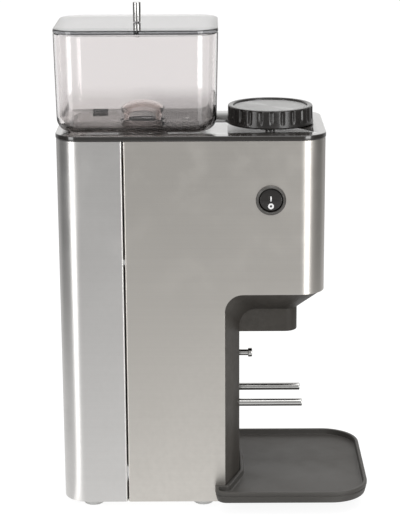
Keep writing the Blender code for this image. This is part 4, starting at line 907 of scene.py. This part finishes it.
def buildGuard():
    # a cap over the throat, spun about the drive axis, with four arched windows: a straight wall up to the
    # knee,
    # then a half ellipse, r = R cos t, z = knee + (height - knee) sin t
    low, high = span("bean_guard")
    foot, height, radius = low[2], high[2] - low[2], high[0]
    knee, wall, sides = guard["knee"], guard["wall"], guard["sides"]
    inner, turn = radius - wall, quarter(13)

    def dome(wide, rise):
        return np.stack([wide * np.cos(turn), knee + rise * np.sin(turn)], -1)

    outside = np.concatenate([[[radius, 0]], dome(radius, height - knee)])
    inside = np.concatenate([dome(inner, height - knee - wall)[::-1], [[inner, 0]]])
    outside[-1, 0] = inside[0, 0] = guard["crown"]
    rings = turnedRings(np.concatenate([outside, inside]), (0, driveY, foot), "Z", sides)
    crown, under, last = len(outside) - 1, len(outside), (len(rings) - 1) * sides
    faces = [face for face in gridQuads(len(rings), sides, wrapCols=True).tolist()
             if not crown * sides <= face[0] < under * sides]
    i = np.arange(sides)
    beside = (i + 1) % sides
    faces += np.stack([i, beside, last + beside, last + i], -1)[:, ::-1].tolist()
    faces += [list(range(crown * sides, under * sides)),
              list(range(under * sides, (under + 1) * sides))[::-1]]
    piece = addPiece("beanGuard", rings, faces, "hopper", "smoke_clear", "bean_guard", finish=guardClear)
    half, past = guard["windowHalf"], deck["past"]
    bend = np.radians(np.linspace(0, 180, 17))
    bow = np.stack([half * np.cos(bend), guard["windowRise"] + guard["archRise"] * np.sin(bend)], -1)
    arch = np.concatenate([[[half, -past]], bow, [[-half, -past]]])
    for axis in (0, 1):
        ends = []
        for reach in (-2 * radius, 2 * radius):
            other = np.full(len(arch), reach)
            x, y = (other, arch[:, 0]) if axis == 0 else (arch[:, 0], other)
            ends.append(np.stack([x, y + driveY, arch[:, 1] + foot], -1))
        carve(piece, np.stack(ends))
    return softEdges(piece, guard["edge"], 45)


lid = {
    "thickness": 3 * mm,
    "lipInset": 3.0 * mm,
    "lipWidth": 2 * mm,
    "middle": 18 * mm,           # the flat middle starts this far in
    "hole": 1.9 * mm,
    "pinRadius": 1.6 * mm,
    "pinHead": 3 * mm,
    "pinSeat": 0.3 * mm,
    "pinEdge": 0.5 * mm,
}


def buildLid():
    # a flat cover with a lip that drops inside the wall
    bottom, top, foot = lidHigh[2] - lid["thickness"], lidHigh[2], lidLow[2]
    plan = roundLoop(hopperHalf[0], hopperY - hopperHalf[1], hopperY + hopperHalf[1],
                     hopper["cornerRadius"], 16, 2)
    lip, back, far = lid["lipInset"], lid["lipInset"] + lid["lipWidth"], 30 * mm
    corners = [(far, bottom), (back, bottom), (back, foot), (lip, foot), (lip, bottom), (0, bottom), (0, top),
               (far, top)]
    section = rounded(corners, np.array([0, 0.4, 0.5, 0.5, 0.3, 0.5, 0.8, 0]) * mm, 4, False)
    section[:, 0] = np.minimum(section[:, 0], lid["middle"])
    rings = carryProfile(plan, section)
    piece = addPiece("hopperLid", rings, skin(rings), "lid", "smoke_clear", "hopper_lid", finish=lidClear)
    past, centre = deck["past"], (0, hopperY, 0)
    drill(piece, lid["hole"], bottom - past, top + past, centre, steps=24)
    smooth(piece, 38)
    low, high = (corner[2] for corner in span("lid_pin"))
    seat, pin, head = top + lid["pinSeat"], lid["pinRadius"], lid["pinHead"]
    section = [(core, low), (pin, low), (pin, seat), (head, seat), (head, high), (core, high)]
    turnedPiece("lidPin", section, centre, "lid", "bright_steel", "lid_pin", fillet=lid["pinEdge"])
    nutLow, nutHigh = span("lid_pin_nut")
    low, high, wide, bore = nutLow[2], nutHigh[2], nutHigh[0], lid["hole"]
    turnedPiece("lidPinNut", [(bore, low), (wide, low), (wide, high), (bore, high)], centre, "lid",
                "bright_steel", "lid_pin_nut", steps=36, closed=True,
                fillet=np.array([0.1, 1.0, 0.3, 0.1]) * mm)
    return piece


def buildMagnetAndPeg():
    low, high = span("hopper_magnet")
    plan = roundLoop((high[0] - low[0]) / 2, low[1], high[1], 0.8 * mm, 4)
    plan[:, 0] += (low[0] + high[0]) / 2
    section = rounded([(1 * mm, low[2]), (0, low[2]), (0, high[2]), (1 * mm, high[2])],
                      [0, 0.3 * mm, 0.4 * mm, 0], 3, False)
    rings = carryProfile(plan, section)
    addPiece("hopperMagnet", rings, skin(rings), "hopper", "black_rubber", "hopper_magnet")
    low, high = span("hopper_peg")
    radius, chamfer = high[0], 1.2 * mm
    section = [(core, low[2]), (radius, low[2]), (radius, high[2] - chamfer), (radius - chamfer, high[2]),
               (core, high[2])]
    turnedPiece("hopperPeg", section, (0, (low[1] + high[1]) / 2, 0), "housing", "bright_steel", "hopper_peg")


for piece in (buildHopper(), buildGuard(), buildLid()):
    piece.visible_shadow = False
buildMagnetAndPeg()
print("hopper ready")


# ---- adjusting knob ----

knob = {
    "flutes": 24,
    "fluteDepth": 1.1 * mm,
    "fluteWidth": 0.34,          # share of the pitch that a flute takes
    "flare": 0.7 * mm,
    "rim": 4.2 * mm,
    "recess": 1.4 * mm,
    "topEdge": 1.1 * mm,
    "discHeight": 2.3 * mm,
    "swell": 0.35 * mm,          # the grip is this much wider at the skirt
    "bore": 4.3 * mm,
    "hub": 8 * mm,
    "wall": 3 * mm,
}


def buildKnob():
    # r(t, z) = R(z) - depth * flute(t) * fade(z); the flutes run out before the skirt
    low, high, top, wall = knobLow[2], knobHigh[2], knob["topEdge"], knob["wall"]
    outer = knobHigh[0] - knob["flare"]
    skirt, rim = outer + knob["flare"], outer - knob["rim"]
    seat = high - knob["recess"] - knob["discHeight"]
    steps = knob["flutes"] * 12
    turn = np.arange(steps) * 2 * math.pi / steps
    wave = 0.5 + 0.5 * np.cos(knob["flutes"] * turn)
    edge = 0.5 + 0.5 * math.cos(math.pi * knob["fluteWidth"])
    flute = np.clip((wave - edge) / (1 - edge), 0, 1) ** 0.6
    height = np.linspace(low + 2.6 * mm, high - top - 0.2 * mm, 14)
    rise = (height - height[0]) / (height[-1] - height[0])
    fade = np.clip(rise / 0.45, 0, 1) ** 0.5
    body = outer + knob["swell"] * (1 - rise) ** 2
    gripRadius = body[:, None] - knob["fluteDepth"] * fade[:, None] * flute
    below = [(skirt - 0.4 * mm, low), (skirt, low + 0.4 * mm), (skirt, low + 1.5 * mm),
             (outer + 0.45 * mm, low + 2.0 * mm)]
    crown = [(outer - top * (1 - math.cos(t)), high - top * (1 - math.sin(t))) for t in quarter(5)[1:]]
    rest = [(rim + 0.4 * mm, high), (rim, high - 0.4 * mm), (rim, seat), (knob["bore"], seat),
            (knob["bore"], low), (knob["hub"], low), (knob["hub"], seat - wall), (rim, seat - wall),
            (outer - wall, seat - 5 * mm), (outer - wall, low)]
    above = crown + rest
    radius = np.concatenate([np.full((1, steps), r) for r, z in below] + [gripRadius]
                            + [np.full((1, steps), r) for r, z in above])
    levels = [z for r, z in below] + height.tolist() + [z for r, z in above]
    radius[len(below) + len(height)] -= 0.5 * knob["fluteDepth"] * flute
    z = np.repeat(np.array(levels)[:, None], steps, 1)
    rings = np.stack([radius * np.cos(turn), radius * np.sin(turn) + knobY, z], -1)
    addPiece("adjustKnob", rings, skin(rings, True), "dial", "gloss_black", "adjust_knob", sharp=50)
    low, high = (corner[2] for corner in span("knob_disc"))
    wide = rim - 0.3 * mm
    section = [(core, low), (wide, low), (wide, high), (rim - 2 * mm, high - 0.06 * mm),
               (core, high - 0.1 * mm)]
    turnedPiece("knobDisc", section, (0, knobY, 0), "dial", "disc_grey", "knob_disc", steps=96)


buildKnob()
print("knob ready")


# ---- switch ----

switchLow, switchHigh = span("switch_housing")
switchCentre = centreOf("switch_housing")
rocker = {
    "radius": 8.6 * mm,
    "tilt": math.radians(7),
    "slope": 0.2456,
    "ridge": 4.6 * mm,
    "ridgeSoft": 1.2 * mm,
    "axisIn": 3 * mm,
    "soft": 0.7 * mm,
    "markProud": 0.05 * mm,
    "markDepth": 0.2 * mm,
}
bezel = {
    "gap": 0.6 * mm,
    "edge": 0.5 * mm,
    "barrel": 10.1 * mm,
    "seat": 0.3 * mm,
    "floor": 9 * mm,
    "stem": 4 * mm,
}
rockerAxis = np.array([-halfBody + rocker["axisIn"], switchCentre[1], switchCentre[2]])


def rockerFace(across, up):
    # depth of the face: two halves that lean back from a soft ridge, x = -ridge + slope (sqrt(z^2 + e^2) - e)
    soft = rocker["ridgeSoft"]
    return -rocker["ridge"] + rocker["slope"] * (np.sqrt(up ** 2 + soft ** 2) - soft)


def tilted(points):
    # turned about the rocker's axis by the rest tilt
    c, s = math.cos(rocker["tilt"]), math.sin(rocker["tilt"])
    x, y, z = points[..., 0], points[..., 1], points[..., 2]
    return np.stack([x * c + z * s, y, -x * s + z * c], -1) + rockerAxis


def buildSwitch():
    low, high, proud = switchLow[0], switchHigh[0], switchHigh[1] - switchCentre[1]
    size, soft = rocker["radius"], rocker["soft"]
    inner, barrel, floor = size + bezel["gap"], bezel["barrel"], -halfBody + bezel["floor"]
    seat = -halfBody - bezel["seat"]
    section = [(inner, low + bezel["edge"]), (inner + bezel["edge"], low), (proud - 1.6 * mm, low),
               (proud, low + 1.1 * mm), (proud, seat), (barrel, seat), (barrel, high), (bezel["stem"], high),
               (bezel["stem"], floor), (inner, floor)]
    turnedPiece("switchBezel", section, (0, switchCentre[1], switchCentre[2]), "housing", "gloss_black",
                "switch_housing", "X", 72, True, 0.25 * mm, bezelFinish)
    turn = np.arange(72) * 2 * math.pi / 72
    share = np.concatenate([np.linspace(0.02, 0.86, 12), np.linspace(0.88, 1.0, 7)])[:, None]
    radius = size * share
    across, up = radius * np.cos(turn), radius * np.sin(turn)
    # the rim falls away by soft (1 - sqrt(1 - u^2)), u from 0 to 1 over the last soft of the radius
    outward = np.clip((radius - size + soft) / soft, 0, 1)
    drop = soft * (1 - np.sqrt(np.clip(1 - outward ** 2, 0, 1)))
    dish = np.stack([rockerFace(across, up) + drop, across, up], -1)
    side = np.stack([np.full(72, 3 * mm), size * np.cos(turn), size * np.sin(turn)], -1)
    rings = tilted(np.concatenate([dish, side[None]]))
    addPiece("rockerButton", rings, skin(rings), "rocker", "gloss_black", "rocker_button", sharp=50)
    buildMark("rockerMarkOff", 0.9 * mm, 2.25 * mm, -4.9 * mm)
    buildBar("rockerMarkOn", 0.5 * mm, 1.85 * mm, 0.8 * mm)


def raised(name, across, up):
    # a thin inlay that follows the rocker's face
    top = np.stack([rockerFace(across, up) - rocker["markProud"], across, up], -1)
    bottom = top + (rocker["markDepth"], 0, 0)
    points = tilted(np.concatenate([top, bottom[::-1]]))
    addPiece(name, points, skin(points, True), "rocker", "disc_grey", sharp=40, finish=markPrint)


def buildMark(name, inner, outer, height):
    # a ring: radius between inner and outer all the way round
    turn = np.arange(40) * 2 * math.pi / 40
    radius = np.array([inner, outer])[:, None]
    raised(name, radius * np.cos(turn), height + radius * np.sin(turn))


def buildBar(name, halfWidth, halfHeight, height):
    # an upright bar: an oval whose cosine and sine are raised to 0.35, drawn twice, small and full size
    turn = np.arange(32) * 2 * math.pi / 32
    x, z = (np.sign(value) * np.abs(value) ** 0.35 for value in (np.cos(turn), np.sin(turn)))
    share = np.array([0.05, 1.0])[:, None]
    raised(name, share * halfWidth * x, height + share * halfHeight * z)


buildSwitch()
print("switch ready")


# ---- rods, trigger, feet, gland ----

trigger = {
    "head": 3.65 * mm,
    "headLength": 3.3 * mm,
    "shaft": 2.5 * mm,
    "collar": 4.2 * mm,
    "collarFront": 7 * mm,       # both ends of the collar, from the tail
    "collarRear": 5 * mm,
}
foot = {"chamfer": 1.4 * mm, "chamferHeight": 2.4 * mm, "edge": 0.9 * mm}
gland = {"bore": 4 * mm, "face": 9.6 * mm, "flange": 11 * mm, "chamfer": 1.2 * mm, "stem": 8.7 * mm,
         "seat": 0.1 * mm, "edge": 0.4 * mm}


def buildRods():
    for side in ("left", "right"):
        node = f"fork_rod_{side}"
        low, high = span(node)
        radius, middle = (high[0] - low[0]) / 2, centreOf(node)
        section = [(core, low[1]), (radius, low[1]), (radius, high[1]), (core, high[1])]
        turnedPiece(f"forkRod{side.title()}", section, (middle[0], 0, middle[2]), "housing", "bright_steel",
                    node, "Y", 40, fillet=0.8 * mm)


def buildTrigger():
    low, high = span("trigger_pin")
    tip, tail = low[1], high[1]
    head, shaft, collar = trigger["head"], trigger["shaft"], trigger["collar"]
    neck = tip + trigger["headLength"]
    front, rear = tail - trigger["collarFront"], tail - trigger["collarRear"]
    section = [(core, tip), (head, tip), (head, neck), (shaft, neck), (shaft, front), (collar, front),
               (collar, rear), (shaft, rear), (shaft, tail), (core, tail)]
    radii = np.array([0, 0.9, 0.4, 0.3, 0.2, 0.3, 0.3, 0.2, 0.4, 0]) * mm
    turnedPiece("triggerPin", section, (0, 0, (low[2] + high[2]) / 2), "trigger", "bright_steel",
                "trigger_pin", "Y", 40, fillet=radii)


def buildFeet():
    for side in ("Left", "Right"):
        for end in ("Front", "Rear"):
            node = f"foot_{side}_{end}".lower()
            low, high = span(node)
            middle, radius = centreOf(node), (high[0] - low[0]) / 2
            section = [(core, 0), (radius - foot["chamfer"], 0), (radius, foot["chamferHeight"]),
                       (radius, high[2]), (core, high[2])]
            turnedPiece(f"foot{side}{end}", section, (middle[0], middle[1], 0), "housing", "foot_rubber",
                        node, steps=64, fillet=foot["edge"])


def buildGland():
    low, high = (corner[1] for corner in span("cable_gland"))
    bore, flange, stem, wall = gland["bore"], gland["flange"], gland["stem"], coverHigh[1] + gland["seat"]
    section = [(bore, high), (gland["face"], high), (flange, high - gland["chamfer"]), (flange, wall),
               (stem, wall), (stem, low), (bore, low)]
    turnedPiece("cableGland", section, (0, 0, centreOf("cable_gland")[2]), "housing", "black_rubber",
                "cable_gland", "Y", 64, True, gland["edge"])


buildRods()
buildTrigger()
buildFeet()
buildGland()
print("rods, feet and gland ready")


# ---- floor, light, camera ----

studio = {
    "bodySide": -0.035,          # the fans on the floor start from two corners of the body
    "bodyFront": -0.0655,
    "bodyRear": 0.0995,
    "boxStart": 0.07,
    "boxDistance": 1.4,
    "boxMiddle": 0.55,
    "boxHeight": 1.1,
    "frontTurn": math.radians(36),
    "frontWidth": math.radians(11.5),
    "frontPower": 9,
    "rearTurn": math.radians(47),
    "rearWidth": math.radians(10.5),
    "rearPower": 6,
    "fanGlow": 1.7,
    "wing": 0.35,                # soft light beside each box, as a share of its glow
    "wingWidth": 1.7,
    "wingSoft": 0.45,
    "nearFloor": 0.97,
    "farFloor": 0.345,
    "sideShade": 0.36,
    "floorGlow": 0.90,
    "floorShade": 0.18,
    "throughGlow": 0.68,         # floor as seen through clear plastic
    "bounce": 0.50,
    "wallBehind": 1.15,
    "wallFront": 0.50,
    "wallRear": 0.50,
    "wallSide": 0.20,
    "ceiling": 0.9,
    "floorHalf": 8.0,
}


def sector(tree, across, along, corner, turn, width, soft=0.2):
    # 1 inside a fan of directions that starts at a corner of the body: |atan2 - turn| < width, soft a share
    # of width
    aside = arithmetic(tree, "SUBTRACT", across, corner[1])
    ahead = arithmetic(tree, "MULTIPLY", arithmetic(tree, "SUBTRACT", along, corner[0]), -1)
    angle = arithmetic(tree, "ARCTAN2", aside, ahead)
    off = arithmetic(tree, "ABSOLUTE", arithmetic(tree, "SUBTRACT", angle, turn))
    return ease(tree, off, width * (1 - soft), width * (1 + soft), 1.0, 0.0)


def brighter(tree, level, fan, glow):
    # the greater of the level and glow times the fan
    return arithmetic(tree, "MAXIMUM", level, arithmetic(tree, "MULTIPLY", fan, glow))


def buildFloor():
    # pale and even to the eye; in reflections it is bright near the object and under the soft boxes, and
    # dim to
    # the sides
    made, tree, shader, place = startFinish("pale floor", 0.7)
    shader["Specular IOR Level"].default_value = 0.0
    path = tree.nodes.new("ShaderNodeLightPath").outputs
    direct, through, mirror = path["Is Camera Ray"], path["Is Transmission Ray"], path["Is Glossy Ray"]
    tone = blend(tree, direct, (studio["bounce"],) * 3, (studio["floorShade"],) * 3)
    connect(tree, shader["Base Color"], tone)
    x, y, z = put(tree, "ShaderNodeSeparateXYZ", None, (place["Object"],)).outputs
    away = put(tree, "ShaderNodeVectorMath", {"operation": "LENGTH"}, (place["Object"],)).outputs["Value"]
    fall = ease(tree, away, 0.1, 1.3, studio["nearFloor"], studio["farFloor"], "LINEAR")
    sideways = arithmetic(tree, "DIVIDE", arithmetic(tree, "ABSOLUTE", y), away)
    shade = arithmetic(tree, "MULTIPLY", ease(tree, sideways, 0.8, 0.98), ease(tree, away, 0.35, 0.9))
    keep = arithmetic(tree, "SUBTRACT", 1.0, arithmetic(tree, "MULTIPLY", shade, 1 - studio["sideShade"]))
    level, bright, wing = arithmetic(tree, "MULTIPLY", fall, keep), studio["fanGlow"], studio["wing"]
    for end, turn, width in (("bodyFront", -studio["frontTurn"], studio["frontWidth"]),
                             ("bodyRear", studio["rearTurn"], studio["rearWidth"])):
        corner = (studio["bodySide"], studio[end])
        level = brighter(tree, level, sector(tree, y, x, corner, turn, width), bright)
        broad = sector(tree, y, x, corner, turn, width * studio["wingWidth"], studio["wingSoft"])
        level = brighter(tree, level, broad, bright * wing)
    plain = brighter(tree, arithmetic(tree, "MULTIPLY", direct, studio["floorGlow"]), through,
                     studio["throughGlow"])
    strength = arithmetic(tree, "ADD", plain, arithmetic(tree, "MULTIPLY", mirror, level))
    glow = put(tree, "ShaderNodeEmission", Strength=strength).outputs[0]
    lit = tree.nodes["Principled BSDF"].outputs[0]
    both = put(tree, "ShaderNodeAddShader", None, (lit, glow)).outputs[0]
    only = put(tree, "ShaderNodeMixShader", None, (mirror, both, glow)).outputs[0]
    connect(tree, tree.nodes["Material Output"].inputs["Surface"], only)
    size = studio["floorHalf"]
    mesh = bpy.data.meshes.new("floor")
    mesh.from_pydata([(-size, -size, 0), (size, -size, 0), (size, size, 0), (-size, size, 0)], [],
                     [(0, 1, 2, 3)])
    mesh.materials.append(made)
    floor = bpy.data.objects.new("floor", mesh)
    scene.collection.objects.link(floor)


def addPanel(name, spot, aim, width, height, power):
    # a soft box that points from its spot to its aim
    light = bpy.data.lights.new(name, "AREA")
    light.shape = "RECTANGLE"
    light.size = width
    light.size_y = height
    light.energy = power
    holder = bpy.data.objects.new(name, light)
    holder.location = spot
    holder.rotation_euler = (Vector(aim) - Vector(spot)).to_track_quat("-Z", "Y").to_euler()
    holder.visible_camera = False
    scene.collection.objects.link(holder)


def buildWorld():
    # white to the eye; in reflections bright behind the object and overhead, dim to both sides
    world = bpy.data.worlds.new("studio")
    world.use_nodes = True
    tree = world.node_tree
    place = tree.nodes.new("ShaderNodeTexCoord").outputs["Generated"]
    direct = tree.nodes.new("ShaderNodeLightPath").outputs["Is Camera Ray"]
    x, y, z = put(tree, "ShaderNodeSeparateXYZ", None, (place,)).outputs
    turned = ease(tree, x, -0.1, 0.5, studio["wallFront"], studio["wallRear"])
    behind = blend(tree, ease(tree, x, 0.55, 0.9), turned, studio["wallBehind"])
    side = ease(tree, arithmetic(tree, "ABSOLUTE", y), 0.90, 0.985)
    level = blend(tree, side, behind, studio["wallSide"])
    for turn, width in ((-studio["frontTurn"], studio["frontWidth"]),
                        (studio["rearTurn"], studio["rearWidth"])):
        broad = sector(tree, y, x, (0, 0), turn, width * studio["wingWidth"], studio["wingSoft"])
        level = brighter(tree, level, broad, studio["fanGlow"] * studio["wing"])
    level = blend(tree, ease(tree, z, 0.45, 0.9), level, studio["ceiling"])
    sky = tree.nodes["Background"].inputs
    sky["Color"].default_value = (1.0, 0.995, 0.985, 1)
    connect(tree, sky["Strength"], blend(tree, direct, level, 1.0))
    scene.world = world


def buildLight():
    far, start, middle = studio["boxDistance"], studio["boxStart"], studio["boxMiddle"]
    for name, way in (("front", -1), ("rear", 1)):
        turn, width = studio[name + "Turn"], studio[name + "Width"]
        spot = (studio["bodySide"] - far * math.cos(turn), way * (start + far * math.sin(turn)), middle)
        addPanel(name + "Box", spot, (studio["bodySide"], way * start, middle), 2 * far * math.tan(width),
                 studio["boxHeight"], studio[name + "Power"])
    addPanel("topBox", (-0.3, -0.2, 1.6), (0, 0, 0.1), 1.2, 1.2, 9)


view = {
    "pitch": math.radians(15.066),
    "yaw": math.radians(-0.121),
    "roll": math.radians(-0.292),
    "spot": (-1.33628, 0.00307, 0.54546),
    "sensor": 36,
    "focal": 1737.24 / 529,      # focal length as a share of the sensor's width
    "shift": -0.01163,
}


def buildCamera():
    # the shooting position and direction: right, up and back axes as the columns of a turn
    lens = bpy.data.cameras.new("camera")
    camera = bpy.data.objects.new("camera", lens)
    sinP, cosP = math.sin(view["pitch"]), math.cos(view["pitch"])
    sinY, cosY = math.sin(view["yaw"]), math.cos(view["yaw"])
    right = Vector((-sinY, -cosY, 0))
    forward = Vector((cosP * cosY, -cosP * sinY, -sinP))
    up = Vector((sinP * cosY, -sinP * sinY, cosP))
    turnedRight = right * math.cos(view["roll"]) + up * math.sin(view["roll"])
    turnedUp = up * math.cos(view["roll"]) - right * math.sin(view["roll"])
    axes = zip(turnedRight, turnedUp, -forward, view["spot"])
    camera.matrix_world = Matrix((*axes, (0, 0, 0, 1)))
    lens.sensor_width = view["sensor"]
    lens.lens = view["focal"] * view["sensor"]
    lens.shift_x = view["shift"]
    lens.clip_start = 0.05
    lens.clip_end = 30
    scene.collection.objects.link(camera)
    scene.camera = camera


buildFloor()
buildWorld()
buildLight()
buildCamera()
scene.view_settings.view_transform = "Standard"
print("stage ready")
